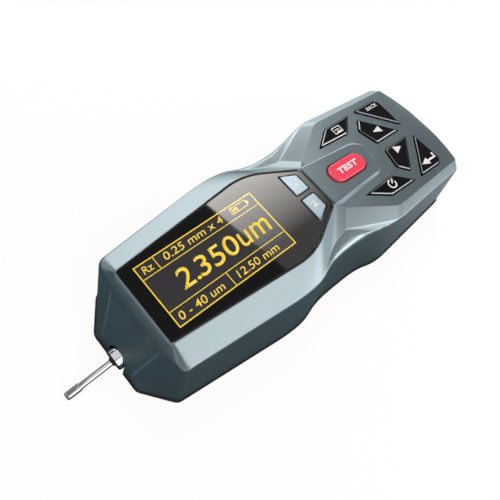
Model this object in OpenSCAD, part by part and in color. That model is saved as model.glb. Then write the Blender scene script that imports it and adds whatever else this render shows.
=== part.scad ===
// Hand-held surface roughness tester: waisted housing, display under a black window,
// keypad on a sloping face and a traversing pickup that reaches out under the nose.
// X runs from the nose (-) to the tail (+), Y across, Z up from the base.

/* [Housing plan at the base] */
// Overall length of the housing, nose to tail
body_l = 158.5; // [153:0.5:166]
// Width of the flat nose
nose_flat = 26; // [22:0.5:30]
// Width over the slanted nose corners
nose_w = 50.6; // [47:0.2:54]
// Length of the slanted nose corners
nose_cut = 9; // [7:0.5:11]
// Greatest width of the display section
head_w = 63.6; // [60:0.2:68]
// Distance from the nose to the greatest width
head_x = 64; // [60:0.5:68]
// Width of the waist
waist_w = 55.4; // [53:0.2:58]
// Distance from the nose to the start of the waist
waist_x = 75.8; // [73:0.2:78]
// Distance from the keypad face's front corners to the end of the waist
waist_rear = 3.2; // [1:0.2:5]
// Greatest width of the keypad section
grip_w = 61.4; // [58:0.2:66]
// Distance from the keypad face's front corners to the greatest width of the keypad section
grip_x = 12.8; // [10:0.2:18]
// Width over the tail corners
tail_w = 53.6; // [50:0.2:57]
// How far the bowed tail stands out past its corners
tail_bow = 3.6; // [2:0.1:5]

/* [Housing shoulder] */
// Height of the shoulder edge above the base, display section
edge_h = 29.4; // [27:0.1:31]
// Height of the bevel on the shoulder edge
edge_bevel = 0.9; // [0.5:0.1:1.4]
// Inward lean of the side wall at the nose corners
nose_lean = 1.1; // [0.5:0.1:2]
// Inward lean of the side wall at the display section
head_lean = 2.2; // [1:0.1:3]
// Inward lean of the side wall at the waist
waist_lean = 4.7; // [3.5:0.1:6]
// Inward lean of the side wall at the keypad section
grip_lean = 2.4; // [1:0.1:3.5]
// Distance from the nose to the top of the slanted nose corners
nose_top_x = 11.8; // [10.5:0.1:13]
// Height of the upright rim of the nose
rim_h = 7.5; // [5:0.5:10]
// Setback of the nose at the top of that rim
rim_in = 1.2; // [0.6:0.1:2]
// Width of the nose facet at the top of that rim
rim_flat = 18.4; // [15:0.2:22]
// How far the shoulder edge drops at the waist
waist_drop = 1; // [0.5:0.1:1.3]
// How far the shoulder edge stands out at the waist
waist_out = 0.6; // [0.3:0.1:0.8]
// How far the bevels of the waist run in from the shoulder edge
waist_ramp = 2.4; // [1.5:0.1:3.5]

/* [Display window] */
// Height of the display face above the base
body_h = 35; // [33:0.2:38]
// Distance from the nose to the window's front edge
lens_x = 14; // [13:0.2:15]
// Width of the window's front edge
lens_front_w = 29.8; // [28.8:0.2:32]
// Distance from the nose to the window's greatest width
lens_wide_x = 72; // [70:0.2:74]
// Greatest width of the window
lens_wide_w = 39.6; // [37:0.2:42]
// Distance from the nose to the window's rear edge
lens_rear_x = 91.4; // [90:0.2:93]
// Width of the window's rear edge
lens_rear_w = 18; // [16:0.2:20]
// Thickness of the window
lens_t = 1.8; // [1.2:0.1:2.2]
// Width of the lip around the window
lens_lip = 1.2; // [0.8:0.1:1.6]
// Thickness of the deck under the window
deck_t = 1.8; // [1.4:0.1:2.4]
// Length of the display module
panel_l = 57; // [54:0.2:58]
// Width of the display module
panel_w = 28.2; // [27:0.2:29]
// Thickness of the display module
panel_t = 2.4; // [1.8:0.1:3]
// Distance from the window's front edge to the middle of the display module
panel_x = 30.7; // [30.4:0.1:31.4]
// Margin of the display module under the deck
panel_rim = 1.6; // [1:0.1:2.5]

/* [Keypad] */
// Distance from the window's rear edge to the front corners of the keypad face
face_gap = 4.6; // [3.2:0.1:6]
// Drop of those corners below the display face
face_drop = 2.4; // [1.8:0.1:3]
// Slope of the keypad face towards the tail, in degrees
face_slope = 4.85; // [3:0.05:6]
// Width of the keypad face at its front corners
face_front_w = 25.2; // [23.5:0.2:27]
// Distance from the face's front corners to its greatest width
face_wide_x = 19; // [17:0.2:21]
// Greatest width of the face
face_wide_w = 48; // [45.6:0.2:50]
// Width of the face at the tail corners
face_rear_w = 45; // [43:0.2:47]
// Distance of the face's tail edge from the tail of the base
face_rear_in = 0.7; // [0.3:0.1:1.5]
// Length of the raised tongue that carries the start key
tongue_l = 31.5; // [29.5:0.1:33]
// Width of the tongue at the window
tongue_front_w = 19.6; // [19:0.2:21]
// Width of the tongue at its rounded end
tongue_rear_w = 15.4; // [14:0.2:17]
// Height of the tongue's end above the keypad face
tongue_step = 0.9; // [0.5:0.1:1.4]
// Spread of the tongue's flanks
tongue_flank = 1.8; // [1:0.1:2.2]
// Length of the start key
start_l = 19; // [17:0.2:20]
// Width of the start key
start_w = 8.4; // [7.4:0.2:9.4]
// Distance from the window to the middle of the start key
start_x = 16.2; // [15.4:0.1:17]
// Length of the soft keys in the window
soft_l = 5.9; // [5.4:0.1:6.4]
// Width of the soft keys at their front
soft_front_w = 9.9; // [9:0.1:10.4]
// Width of the soft keys at their rear
soft_rear_w = 6.9; // [6.4:0.1:7.2]
// Distance of the soft keys from the window's rear edge
soft_in = 2.9; // [2.4:0.1:3.4]
// Bridge of the window between the soft keys
soft_gap = 2.6; // [2.4:0.1:3]
// How far the keys stand proud
key_proud = 0.8; // [0.4:0.1:1.2]
// Travel of the keys
key_travel = 0.5; // [0.3:0.1:0.8]
// Gap around each key
key_gap = 0.35; // [0.3:0.05:0.5]
// Width of the flange that holds each key in
key_flange = 1; // [0.7:0.1:1.2]
// Thickness of that flange
key_flange_t = 1; // [0.8:0.1:1.4]
// Slack under the wall and over the switches
key_slack = 0.25; // [0.2:0.05:0.4]
// Diameter of the stem under each key
key_stem_d = 3; // [2:0.1:3.4]
// Length of the stem under each keypad key
key_stem = 2.4; // [2.2:0.1:2.8]
// Side of a key switch
switch_w = 4.6; // [4:0.1:6]
// Height of a key switch
switch_h = 1.8; // [1.4:0.1:2.4]

/* [Shell and base] */
// Wall of the housing
wall = 2; // [1.6:0.1:2.4]
// Height of the base's edge under the housing
joint_h = 1.8; // [1.4:0.1:1.9]
// How far the base's edge stands out past the housing
base_lip = 0.5; // [0.2:0.1:0.7]
// Thickness of the base inside the housing
base_t = 2.4; // [2:0.1:2.5]
// Clearance of parts that drop into one another
fit_gap = 0.2; // [0.15:0.05:0.3]
// Diameter of the screw bosses
boss_d = 6; // [5.4:0.1:6.6]
// Height of the screw bosses
boss_h = 12; // [10:0.5:14]
// Diameter of the housing screws
screw_d = 2.5; // [2:0.1:3]
// Length of the housing screws
screw_l = 9; // [7:0.5:11]
// Diameter of the heads of the housing screws
screw_head_d = 4.6; // [4.2:0.1:5]
// Depth of the heads of the housing screws
screw_head_h = 1.4; // [1:0.1:1.5]
// Distance of the front screws from the nose
screw_front_x = 19; // [18:0.5:22]
// Distance of the rear screws from the tail
screw_rear_x = 13; // [10:0.5:15]
// Outer diameter of the threaded insert for a stand
insert_d = 7; // [6.4:0.1:8]
// Thread core diameter of that insert
insert_bore = 4.2; // [4:0.1:4.6]
// Height of that insert
insert_h = 6; // [5:0.1:6.4]
// Distance of that insert from the tail
insert_x = 64.5; // [63:0.5:66]

/* [Boards and battery] */
// Thickness of the circuit boards
board_t = 1.6; // [1:0.1:2]
// Height of the main board's top face above the base
board_h = 24.6; // [24.2:0.1:25]
// Width of the main board
board_w = 44; // [42:0.2:45]
// Distance from the nose to the main board's front edge
board_x = 24; // [23:0.2:25]
// Length of the main board
board_l = 69; // [67:0.2:70]
// Diameter of the posts that carry the boards
post_d = 4.6; // [4.2:0.1:5]
// Distance from the main board's front edge to its front posts
post_x = 7; // [6:0.2:8]
// Spacing of the main board's posts
post_gap = 38; // [36:0.2:40]
// Distance of the posts from the main board's sides
post_in = 3.2; // [3:0.1:4]
// Diameter of the board screws
board_screw_d = 1.8; // [1.6:0.1:2.2]
// Distance of the key board from the end of the keypad face
key_board_rear = 4.5; // [4:0.1:6]
// Width of the key board
key_board_w = 40; // [39:0.2:41]
// Length of the battery pack
battery_l = 46; // [42:0.5:48]
// Width of the battery pack
battery_w = 32; // [28:0.5:35]
// Height of the battery pack
battery_h = 10; // [8:0.2:11]
// Distance from the tail to the battery pack
battery_x = 9; // [8:0.5:12]
// Width of the data socket
usb_w = 7.7; // [7:0.1:8.4]
// Height of the data socket
usb_h = 3.9; // [3.4:0.1:4]
// Depth of the data socket
usb_l = 8.6; // [7.6:0.1:9]
// Distance from the nose to the middle of the data socket
usb_x = 54; // [50:0.5:58]

/* [Traverse drive] */
// Distance from the nose to the drive frame
frame_x = 11; // [10.4:0.1:12]
// Width of the drive frame
frame_w = 34; // [33:0.5:36]
// Thickness of the frame's plates
plate_t = 2.5; // [2.2:0.1:3]
// Height of the frame's web above the base
web_h = 19.2; // [19:0.1:19.6]
// Thickness of the frame's web
web_t = 2; // [1.6:0.1:2.4]
// Free run behind the carriage at the end of its traverse
bearing_gap = 7; // [5:0.2:8]
// Diameter of the guide rods
rod_d = 4; // [3.4:0.1:4.4]
// Spacing of the guide rods
rod_gap = 22; // [20:0.2:23]
// Height of the guide rods and the lead screw
rod_h = 15.2; // [15:0.1:15.4]
// Diameter of the lead screw
lead_d = 4; // [3.4:0.1:4.4]
// Outer diameter of the lead screw's bushes
bush_d = 6; // [5.4:0.1:6.4]
// Running clearance of rods, screw and pivots, on the radius
run_gap = 0.05; // [0.03:0.01:0.08]
// Distance from the frame's front to the carriage at rest
carriage_x = 6.5; // [6:0.1:7.5]
// Length of the carriage
carriage_l = 16; // [15:0.2:17]
// Width of the carriage
carriage_w = 30; // [28.5:0.2:31]
// Height of the carriage
carriage_h = 6.8; // [6.4:0.1:7.4]
// Traverse of the pickup
stroke = 17.5; // [15:0.1:18.5]
// Diameter of the drive motor
motor_d = 12; // [10:0.2:12.4]
// Length of the drive motor
motor_l = 26; // [22:0.5:27]
// Diameter of the motor's shaft
shaft_d = 2; // [1.6:0.1:2.4]
// Outer diameter of the shaft coupling
coupling_d = 7; // [6:0.1:8]
// Length of the shaft coupling
coupling_l = 8; // [7:0.1:9]
// Gap at each end of the shaft coupling
coupling_gap = 0.5; // [0.3:0.1:1]

/* [Pickup] */
// Distance from the nose to the pickup's pivot, at rest
pivot_x = 25.2; // [24.6:0.1:26]
// Height of the pivot above the base
pivot_h = 7.6; // [7.5:0.05:7.8]
// Droop of the pickup below level, in degrees
droop = 7.4; // [6.8:0.1:7.5]
// Lift of the pickup off its stop, in degrees
nod = 3; // [1:0.5:3]
// Diameter of the pivot pin
pivot_d = 2; // [1.6:0.1:2.2]
// Width of the holder that swings on the pivot
holder_w = 10; // [9:0.1:10.6]
// Length of the holder
holder_l = 10; // [9:0.1:11]
// Height of the holder
holder_h = 6; // [5.6:0.1:6.4]
// Thickness of the ears around the holder
ear_t = 2; // [1.6:0.1:2.4]
// Diameter of the pickup's stem
stem_d = 4; // [3.6:0.1:4.2]
// Distance from the pivot to the collar's back
collar_x = 22.2; // [21.8:0.1:22.8]
// Diameter of the collar
collar_d = 8.4; // [7.8:0.1:8.6]
// Length of the collar
collar_l = 3.4; // [2.8:0.1:4]
// Diameter of the slim tube
tube_d = 2.4; // [2:0.1:2.6]
// Bore through stem, tube and skid head
tube_bore = 1.3; // [1.2:0.05:1.4]
// Length of the slim tube in front of the collar
tube_l = 14.4; // [13:0.1:16]
// Diameter of the skid head
head_d = 3.1; // [2.8:0.1:3.3]
// Length of the skid head
head_l = 5.7; // [5:0.1:6.2]
// Diameter of the stylus arm
arm_d = 0.7; // [0.5:0.05:0.75]
// Distance from the pivot to the stylus arm's knife edge
knife_x = 19; // [17:0.1:20]
// Distance of the stylus from the end of the skid head
stylus_in = 2.2; // [1.8:0.1:3]
// Diameter of the stylus shank
stylus_d = 0.5; // [0.4:0.05:0.5]
// How far the stylus stands out of the skid head
stylus_out = 0.2; // [0.15:0.05:0.25]
// Radius of the passage for the collar under the nose
tunnel_r = 5; // [4.8:0.1:5.6]

/* [Hidden] */
$fn = 48;
over = 1;

// Stations along the housing, measured from the nose
nose = -body_l / 2;
tail = body_l / 2;
face_x = lens_rear_x + face_gap;
face_l = body_l - face_x;
face_wide_at = face_x + face_wide_x;
waist_end = face_x + waist_rear;
grip_at = face_x + grip_x;
face_h = body_h - face_drop;
deck_h = body_h - lens_t;
ceiling_h = deck_h - deck_t;

// Height of the keypad face and of the shoulder edge at a distance from the nose
function face_z(d) = face_h - max(0, d - face_x) * tan(face_slope);
function edge_z(d) = edge_h - max(0, d - face_x) * tan(face_slope);

// Straight-line tools for outlines
function unit(v) = v / norm(v);
function blend(a, b, t) = a + (b - a) * t;
function flat(p) = [p.x, p.y];
function back_off(from, p, s) = p + unit(from - p) * min(s, norm(from - p) * 0.45);
function corner(a, p, c, s, n) =
    n == 0 ? [p] : let (u = back_off(a, p, s), v = back_off(c, p, s))
    [for (i = [0:n]) let (t = i / n) u * pow(1 - t, 2) + p * 2 * t * (1 - t) + v * pow(t, 2)];

// Half outline from the nose to the tail with its corners rounded; the other half mirrors it
function across(p) = [p.x, -p.y, p.z];
function soften(pts, round, steps) = let (last = len(pts) - 1) [
    for (k = [0:last])
        let (before = k == 0 ? across(pts[0]) : pts[k - 1], after = k == last ? across(pts[k]) : pts[k + 1])
        each corner(before, pts[k], after, round[k], steps[k])
];
function mirrored(half) = concat(half, [for (i = [len(half) - 1:-1:0]) across(half[i])]);

// Moves a half outline inwards by d in plan and up by dz
function inward(a, b) = let (t = unit(flat(b) - flat(a))) [t.y, -t.x];
function inset(pts, d, dz = 0) = let (last = len(pts) - 1) [
    for (k = [0:last])
        let (
            n1 = k == 0 ? [1, 0] : inward(pts[k - 1], pts[k]),
            n2 = k == last ? [-1, 0] : inward(pts[k], pts[k + 1]),
            m = (n1 + n2) / (1 + n1 * n2)
        )
        [pts[k].x + m.x * d, pts[k].y + m.y * d, pts[k].z + dz]
];

// Closed outline grown by d, points anticlockwise
function outward(a, b) = let (t = unit(b - a)) [t.y, -t.x];
function grow(pts, d) = let (n = len(pts)) [
    for (k = [0:n - 1])
        let (
            n1 = outward(pts[(k + n - 1) % n], pts[k]),
            n2 = outward(pts[k], pts[(k + 1) % n])
        )
        pts[k] + (n1 + n2) / (1 + n1 * n2) * d
];
function rounded(pts, s, steps = 4) = let (n = len(pts)) [
    for (k = [0:n - 1]) each corner(pts[(k + n - 1) % n], pts[k], pts[(k + 1) % n], s, steps)
];

// Solid through a stack of half outlines, lowest first
module loft(halves) {
    rings = [for (h = halves) mirrored(h)];
    m = len(halves[0]);
    n = len(rings[0]);
    top = (len(rings) - 1) * n;
    function other(i) = n - 1 - i;
    sides = [
        for (r = [0:len(rings) - 2], j = [0:n - 1])
            let (a = r * n + j, b = r * n + (j + 1) % n)
            each [[a, b, b + n], [a, b + n, a + n]]
    ];
    cap = [for (i = [0:m - 2]) [for (k = [i, i + 1, other(i + 1), other(i)]) k + top]];
    foot = [for (i = [0:m - 2]) [other(i), other(i + 1), i + 1, i]];
    polyhedron([for (r = rings) each r], concat(sides, cap, foot), convexity = 8);
}

// Bowed tail edge from its corner towards the middle
function tail_edge(x, half_w, bow, z) = [for (f = [1, 2 / 3, 1 / 3]) [x - bow * f * f, f * half_w, z]];

// Rounding of the outline's corners: nose, nose corner, head, waist, waist, grip, tail, bow
plan_round = [1.2, 1.6, 12, 9, 7, 6, 1.8, 0, 0];
band_round = [0.8, 1.2, 12, 6, 0.8, 3, 1.4, 0, 0];
plan_steps = [2, 3, 5, 4, 4, 4, 4, 0, 0];
top_round = [0.6, 0.6, 8, 1.4, 0.8, 1.6, 1, 0, 0];

base_line = [
    [nose, nose_flat / 2, joint_h],
    [nose + nose_cut, nose_w / 2, joint_h],
    [nose + head_x, head_w / 2, joint_h],
    [nose + waist_x, waist_w / 2, joint_h],
    [nose + waist_end, waist_w / 2, joint_h],
    [nose + grip_at, grip_w / 2, joint_h],
    each tail_edge(tail, tail_w / 2, tail_bow, joint_h)
];

// Corner points of the window's half outline
lens_line = [
    [nose + lens_x, lens_front_w / 2, body_h],
    [nose + lens_wide_x, lens_wide_w / 2, body_h],
    [nose + lens_rear_x, lens_rear_w / 2, body_h]
];
lens_round = [1.6, 8, 1.6];
lens_steps = [4, 8, 4];
lip_line = inset(lens_line, -lens_lip);
lip_cut = lens_lip * 0.6;

face_rear_x = body_l - face_rear_in;
top_line = [
    lip_line[0] - [0, lip_cut, 0],
    lip_line[0] + [lip_cut, 0, 0],
    lip_line[1],
    lip_line[2],
    [nose + face_x, face_front_w / 2, face_z(face_x)],
    [nose + face_wide_at, face_wide_w / 2, face_z(face_wide_at)],
    each tail_edge(nose + face_rear_x, face_rear_w / 2, tail_bow * 0.85, face_z(face_rear_x - tail_bow))
];

// The nose slopes from the rim to the window
function nose_at(z) =
    blend([nose + rim_in, rim_flat / 2], flat(top_line[0]), (z - rim_h) / (body_h - rim_h));
edge_line = [
    [each nose_at(edge_h), edge_h],
    [nose + nose_top_x, nose_w / 2 - nose_lean, edge_h],
    [nose + head_x + head_lean, head_w / 2 - head_lean, edge_h],
    [nose + waist_x + waist_lean, waist_w / 2 - waist_lean + waist_out, edge_h - waist_drop],
    [nose + waist_end - waist_lean, waist_w / 2 - waist_lean + waist_out, edge_h - waist_drop],
    [nose + grip_at + grip_lean, grip_w / 2 - grip_lean, edge_z(grip_at)],
    each tail_edge(tail - 0.5, tail_w / 2 - 0.8, tail_bow * 1.1, edge_z(body_l - tail_bow) + 0.3)
];
band_h = edge_h + edge_bevel;
band_inset = inset(edge_line, edge_bevel * 0.4, edge_bevel);
band_line = [
    for (k = [0:len(edge_line) - 1])
        k == 0 ? [each nose_at(band_h), band_h] :
        k == 3 ? [nose + waist_x + waist_lean + 2, waist_w / 2 - waist_lean - waist_ramp, band_h] :
        k == 4 ? [nose + face_x - 5.6, waist_w / 2 - waist_lean - waist_ramp * 1.7, band_h] :
        band_inset[k]
];
rim_line = [
    for (k = [0:len(edge_line) - 1])
        k == 0 ? [nose + rim_in, rim_flat / 2, rim_h] :
        let (t = (rim_h - joint_h) / (edge_h - joint_h))
        [each blend(flat(base_line[k]), flat(edge_line[k]), t), rim_h]
];

module outer_form() {
    loft([
        soften(base_line, plan_round, plan_steps),
        soften(rim_line, plan_round, plan_steps),
        soften(edge_line, plan_round, plan_steps),
        soften(band_line, band_round, plan_steps),
        soften(top_line, top_round, plan_steps)
    ]);
}

// The hollow keeps the wall's thickness, with a deck under the window
inner_steps = [1, 1, 2, 2, 2, 2, 2, 0, 0];
ceiling_in = inset(top_line, wall / 2);
ceiling_line = [
    for (k = [0:len(top_line) - 1])
        let (p = ceiling_in[k])
        [p.x + (k == 0 ? wall : 0), p.y, k < 4 ? ceiling_h : top_line[k].z - wall]
];
module hollow() {
    loft([
        soften(inset(base_line, wall, -over), plan_round, inner_steps),
        soften(inset(rim_line, wall), plan_round, inner_steps),
        soften(inset(edge_line, wall, -wall / 2), plan_round, inner_steps),
        soften(ceiling_line, top_round, inner_steps)
    ]);
}

// Raised tongue between the window and the keys
tongue_x = lens_rear_x + lens_lip;
tongue_slope = atan((body_h - face_z(tongue_x + tongue_l) - tongue_step) / tongue_l);
function tongue_z(d) = body_h - (d - tongue_x) * tan(tongue_slope);
function tongue_line(spread, sink) = [
    for (p = [
        [tongue_x - lens_lip / 2, tongue_front_w / 2],
        [tongue_x + tongue_l - tongue_rear_w / 4, tongue_rear_w / 2],
        [tongue_x + tongue_l, tongue_rear_w / 4]
    ]) [
        nose + p.x + (p.x > tongue_x ? spread : 0),
        p.y + spread,
        sink == 0 ? tongue_z(p.x) : face_z(p.x) - sink
    ]
];
tongue_round = [0, 2.6, 5];
tongue_steps = [0, 5, 5];
module tongue() {
    loft([
        soften(tongue_line(tongue_flank, wall / 2), tongue_round, tongue_steps),
        soften(tongue_line(0, 0), tongue_round, tongue_steps)
    ]);
}

// Frames that keys and boards are set out in
module on_face() {
    translate([nose + face_x, 0, face_h]) rotate([0, face_slope, 0]) children();
}

// Key outlines on the face: distance behind its front corners, distance from the middle,
// drawn for a face of one length and stretched with it
drawn_l = 62.5;
function set_out(pts) = [for (p = pts) [p.x * face_l / drawn_l, p.y]];
side_key = set_out([[12.2, 13.5], [27.2, 12.8], [33.6, 19.2], [20.2, 19]]);
corner_key = set_out([[39, 19.4], [52, 4.3], [52.4, 17.6], [50.4, 19.6]]);
arrow_key = set_out([[34.8, 2.4], [47.8, 2.4], [36.4, 15.1], [32.6, 10.8]]);
soft_rear = lens_rear_x - soft_in;
soft_front = soft_rear - soft_l;
soft_low = soft_gap / 2;
soft_key = [
    [soft_front, soft_low], [soft_rear, soft_low],
    [soft_rear, soft_low + soft_rear_w], [soft_front, soft_low + soft_front_w]
];
key_corner = 0.9;
function middle(pts) = [for (i = [0, 1]) (pts[0][i] + pts[1][i] + pts[2][i] + pts[3][i]) / 4];
start_at = [tongue_x + start_x - face_x, 0];

key_seat = wall + key_slack;
start_front = tongue_x + start_x - start_l / 2;
start_seat = key_seat + tongue_z(start_front) - face_z(start_front);
switch_top = key_seat + key_flange_t + key_stem + key_travel + key_slack;
key_board_top = switch_top + switch_h;

module outline(pts, d = 0) {
    polygon(rounded(grow(pts, d), key_corner));
}
module pill(l, w) {
    hull_l = l / 2 - w / 2;
    translate([-hull_l, -w / 2]) square([hull_l * 2, w]);
    for (s = [-1, 1]) translate([s * hull_l, 0]) circle(d = w);
}

// A cap through its opening, a flange behind the wall and a stem over the switch
module key(pts, top, seat, stem) {
    translate([0, 0, -seat - over / 2]) linear_extrude(top + seat + over / 2) outline(pts);
    translate([0, 0, -seat - key_flange_t]) linear_extrude(key_flange_t) outline(pts, key_flange);
    translate([each middle(pts), -seat - key_flange_t - stem])
        cylinder(d = key_stem_d, h = stem + over / 2);
}
module face_key(pts, side) {
    on_face() scale([1, side, 1]) key(pts, key_proud, key_seat, key_stem);
}
module face_keyholes() {
    on_face() for (pts = [side_key, corner_key, arrow_key], side = [0, 1])
        mirror([0, side, 0]) translate([0, 0, -wall - over])
            linear_extrude(wall + 2 * over) outline(pts, key_gap);
}
module start_hole() {
    on_face() translate([start_at.x, 0, -start_seat - over])
        linear_extrude(start_seat + 3 * over) pill(start_l + 2 * key_gap, start_w + 2 * key_gap);
}
module soft_outline(d = 0) {
    translate([nose, 0]) outline(soft_key, d);
}
module soft_holes(low, high) {
    for (side = [0, 1]) mirror([0, side, 0])
        translate([0, 0, low]) linear_extrude(high - low) soft_outline(key_gap);
}

// Window outline grown by d
module lens_outline(d = 0) {
    polygon([for (p = mirrored(soften(inset(lens_line, -d), lens_round, lens_steps))) flat(p)]);
}

// Display module, seen through a window in the deck
panel_mid = nose + lens_x + panel_x;
module panel_block(grown) {
    translate([panel_mid, 0, 0]) square([panel_l + 2 * grown, panel_w + 2 * grown], center = true);
}

// Screw places: bosses stand against the side walls
function wall_y(d) = lookup(d, [
    [nose_cut, nose_w / 2], [head_x, head_w / 2], [waist_x, waist_w / 2], [waist_end, waist_w / 2],
    [grip_at, grip_w / 2], [body_l - tail_bow, tail_w / 2]
]);
boss_bite = 0.5;
boss_places = [
    for (d = [screw_front_x, body_l - screw_rear_x], s = [-1, 1])
        [nose + d, s * (wall_y(d) - wall - boss_d / 2 + boss_bite)]
];
main_posts = [
    for (d = [post_x, post_x + post_gap], s = [-1, 1]) [nose + board_x + d, s * (board_w / 2 - post_in)]
];
key_board_x = 6;
key_board_l = face_l - key_board_x - key_board_rear;
key_post_in = 2.6;
key_post_y = start_w / 2 + key_flange + 3.8;
key_post_places = [
    [key_board_x + key_post_in, key_post_y], [key_board_x + key_post_in, -key_post_y],
    [key_board_x + key_board_l - key_post_in, 0]
];
pilot_gap = 0.06;

module at_bosses() {
    for (p = boss_places) translate([p.x, p.y, 0]) children();
}
module at_main_posts() {
    for (p = main_posts) translate([p.x, p.y, board_h]) children();
}
module at_key_posts() {
    on_face() for (p = key_post_places) translate([p.x, p.y, -key_board_top]) children();
}

// Passage for the collar, level with the drooping pickup and its lift
collar_drop = (collar_x + collar_l / 2) * tan(droop);
collar_lift = (collar_x + collar_l / 2) * tan(nod);
tunnel_low = pivot_h - collar_drop;
module tunnel(r, x0, x1) {
    translate([x0, 0, tunnel_low]) rotate([0, 90, 0]) cylinder(r = r, h = x1 - x0);
    translate([x0, 0, tunnel_low + collar_lift]) rotate([0, 90, 0]) cylinder(r = r, h = x1 - x0);
    translate([x0, -r, -over]) cube([x1 - x0, 2 * r, tunnel_low + collar_lift + over]);
}

usb_y = wall_y(usb_x) - head_lean;
usb_room = 0.5;
module usb_place() {
    translate([nose + usb_x, usb_y, board_h]) children();
}

board_screw_l = 4;
board_head_h = 1.1;
module board_pilot() {
    translate([0, 0, -over])
        cylinder(d = board_screw_d + 2 * pilot_gap, h = over + board_screw_l + fit_gap);
}

module upper_housing() {
    color("slategray") difference() {
        union() {
            difference() {
                union() {
                    outer_form();
                    tongue();
                }
                hollow();
            }
            at_bosses() translate([0, 0, base_t]) cylinder(d = boss_d, h = boss_h);
            at_main_posts() cylinder(d = post_d, h = ceiling_h - board_h + 0.4);
            at_key_posts() cylinder(d = post_d, h = key_board_top - wall + 0.6);
        }
        translate([0, 0, deck_h]) linear_extrude(lens_t + over) lens_outline(fit_gap);
        translate([0, 0, ceiling_h - over]) linear_extrude(deck_t + 2 * over) panel_block(-panel_rim);
        soft_holes(ceiling_h - over, deck_h + over);
        face_keyholes();
        start_hole();
        tunnel(tunnel_r, nose - over, nose + frame_x);
        usb_place() translate([-usb_w / 2 - usb_room, -2 * wall, -usb_room])
            cube([usb_w + 2 * usb_room, 6 * wall, usb_h + 2 * usb_room]);
        at_bosses() translate([0, 0, base_t - over])
            cylinder(d = screw_d + 2 * pilot_gap, h = screw_l + over);
        at_main_posts() board_pilot();
        at_key_posts() board_pilot();
    }
}

// Base: a flange under the wall's edge and a plug inside the wall
module base_outline() {
    polygon([for (p = mirrored(soften(inset(base_line, -base_lip), plan_round, plan_steps))) flat(p)]);
}
hollow_low = joint_h - over;
plug_level = (base_t - hollow_low) / (rim_h - hollow_low);
plug_line = [for (k = [0:len(base_line) - 1]) blend(base_line[k], rim_line[k], plug_level)];
module plug_outline() {
    line = inset(plug_line, wall + fit_gap);
    polygon([for (p = mirrored(soften(line, plan_round, inner_steps))) flat(p)]);
}
slot_end = nose + rim_in + stroke + collar_l + over;
bearing_x = carriage_x + carriage_l + stroke + bearing_gap;
coupling_end = bearing_x + plate_t + coupling_gap + coupling_l;
motor_face = coupling_end + coupling_gap;
frame_l = motor_face + plate_t;
foot_in = 3;
foot_y = frame_w / 2 - foot_in;
foot_places = [for (d = [frame_x, frame_x + bearing_x], s = [-1, 1]) [nose + d + plate_t / 2, s * foot_y]];
frame_screw_d = 1.4;
frame_screw_l = 8;
frame_head_d = 2.6;
frame_head_h = 1;
module base_cover() {
    insert_at = [tail - insert_x, 0];
    color("dimgray") difference() {
        union() {
            linear_extrude(joint_h) base_outline();
            linear_extrude(base_t) plug_outline();
            translate(insert_at) cylinder(d = insert_d + 3, h = insert_h);
        }
        at_bosses() translate([0, 0, -over]) {
            cylinder(d = screw_d + 2 * fit_gap, h = base_t + 2 * over);
            cylinder(d = screw_head_d + 2 * fit_gap, h = screw_head_h + fit_gap + over);
        }
        for (p = foot_places) translate([p.x, p.y, -over]) {
            cylinder(d = frame_screw_d + 2 * fit_gap, h = base_t + 2 * over);
            cylinder(d = frame_head_d + 2 * fit_gap, h = frame_head_h + fit_gap + over);
        }
        translate([insert_at.x, 0, -over]) cylinder(d = insert_d, h = insert_h + 2 * over);
        translate([nose - over, -tunnel_r, -over])
            cube([slot_end - nose + over, 2 * tunnel_r, base_t + 2 * over]);
    }
}
module stand_insert() {
    color("goldenrod") translate([tail - insert_x, 0, 0]) difference() {
        cylinder(d = insert_d, h = insert_h);
        translate([0, 0, -over]) cylinder(d = insert_bore, h = insert_h + 2 * over);
    }
}
module housing_screws() {
    color("silver") at_bosses() translate([0, 0, fit_gap]) {
        cylinder(d = screw_head_d, h = screw_head_h);
        cylinder(d = screw_d, h = screw_l);
    }
}

module display_lens() {
    color("black") difference() {
        translate([0, 0, deck_h]) linear_extrude(lens_t) lens_outline();
        soft_holes(deck_h - over, body_h + over);
    }
}
module display_panel() {
    color("gold") translate([0, 0, ceiling_h - panel_t]) linear_extrude(panel_t) panel_block(0);
}

board_end = board_x + board_l;
board_waist_x = waist_x - 8;
board_waist_w = waist_w - 2 * (waist_lean + wall + 2);
usb_tab_in = 2.8;
usb_tab_side = 2;
usb_tab_w = usb_w + 2 * usb_tab_side;
module main_board() {
    color("darkgreen") difference() {
        translate([nose, 0, board_h - board_t]) {
            linear_extrude(board_t) polygon([
                [board_x, -board_w / 2], [board_waist_x, -board_w / 2], [board_end, -board_waist_w / 2],
                [board_end, board_waist_w / 2], [board_waist_x, board_w / 2], [board_x, board_w / 2]
            ]);
            translate([usb_x - usb_tab_w / 2, 0, 0]) cube([usb_tab_w, usb_y - usb_tab_in, board_t]);
        }
        at_main_posts() translate([0, 0, -board_t - over])
            cylinder(d = board_screw_d + 2 * fit_gap, h = board_t + 2 * over);
    }
}
soft_mid = middle(soft_key);
module soft_switches() {
    color("dimgray") for (s = [-1, 1])
        translate([nose + soft_mid.x - switch_w / 2, s * soft_mid.y - switch_w / 2, board_h])
            cube([switch_w, switch_w, switch_h]);
}
usb_wall = 0.5;
usb_tongue = 1.2;
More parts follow.
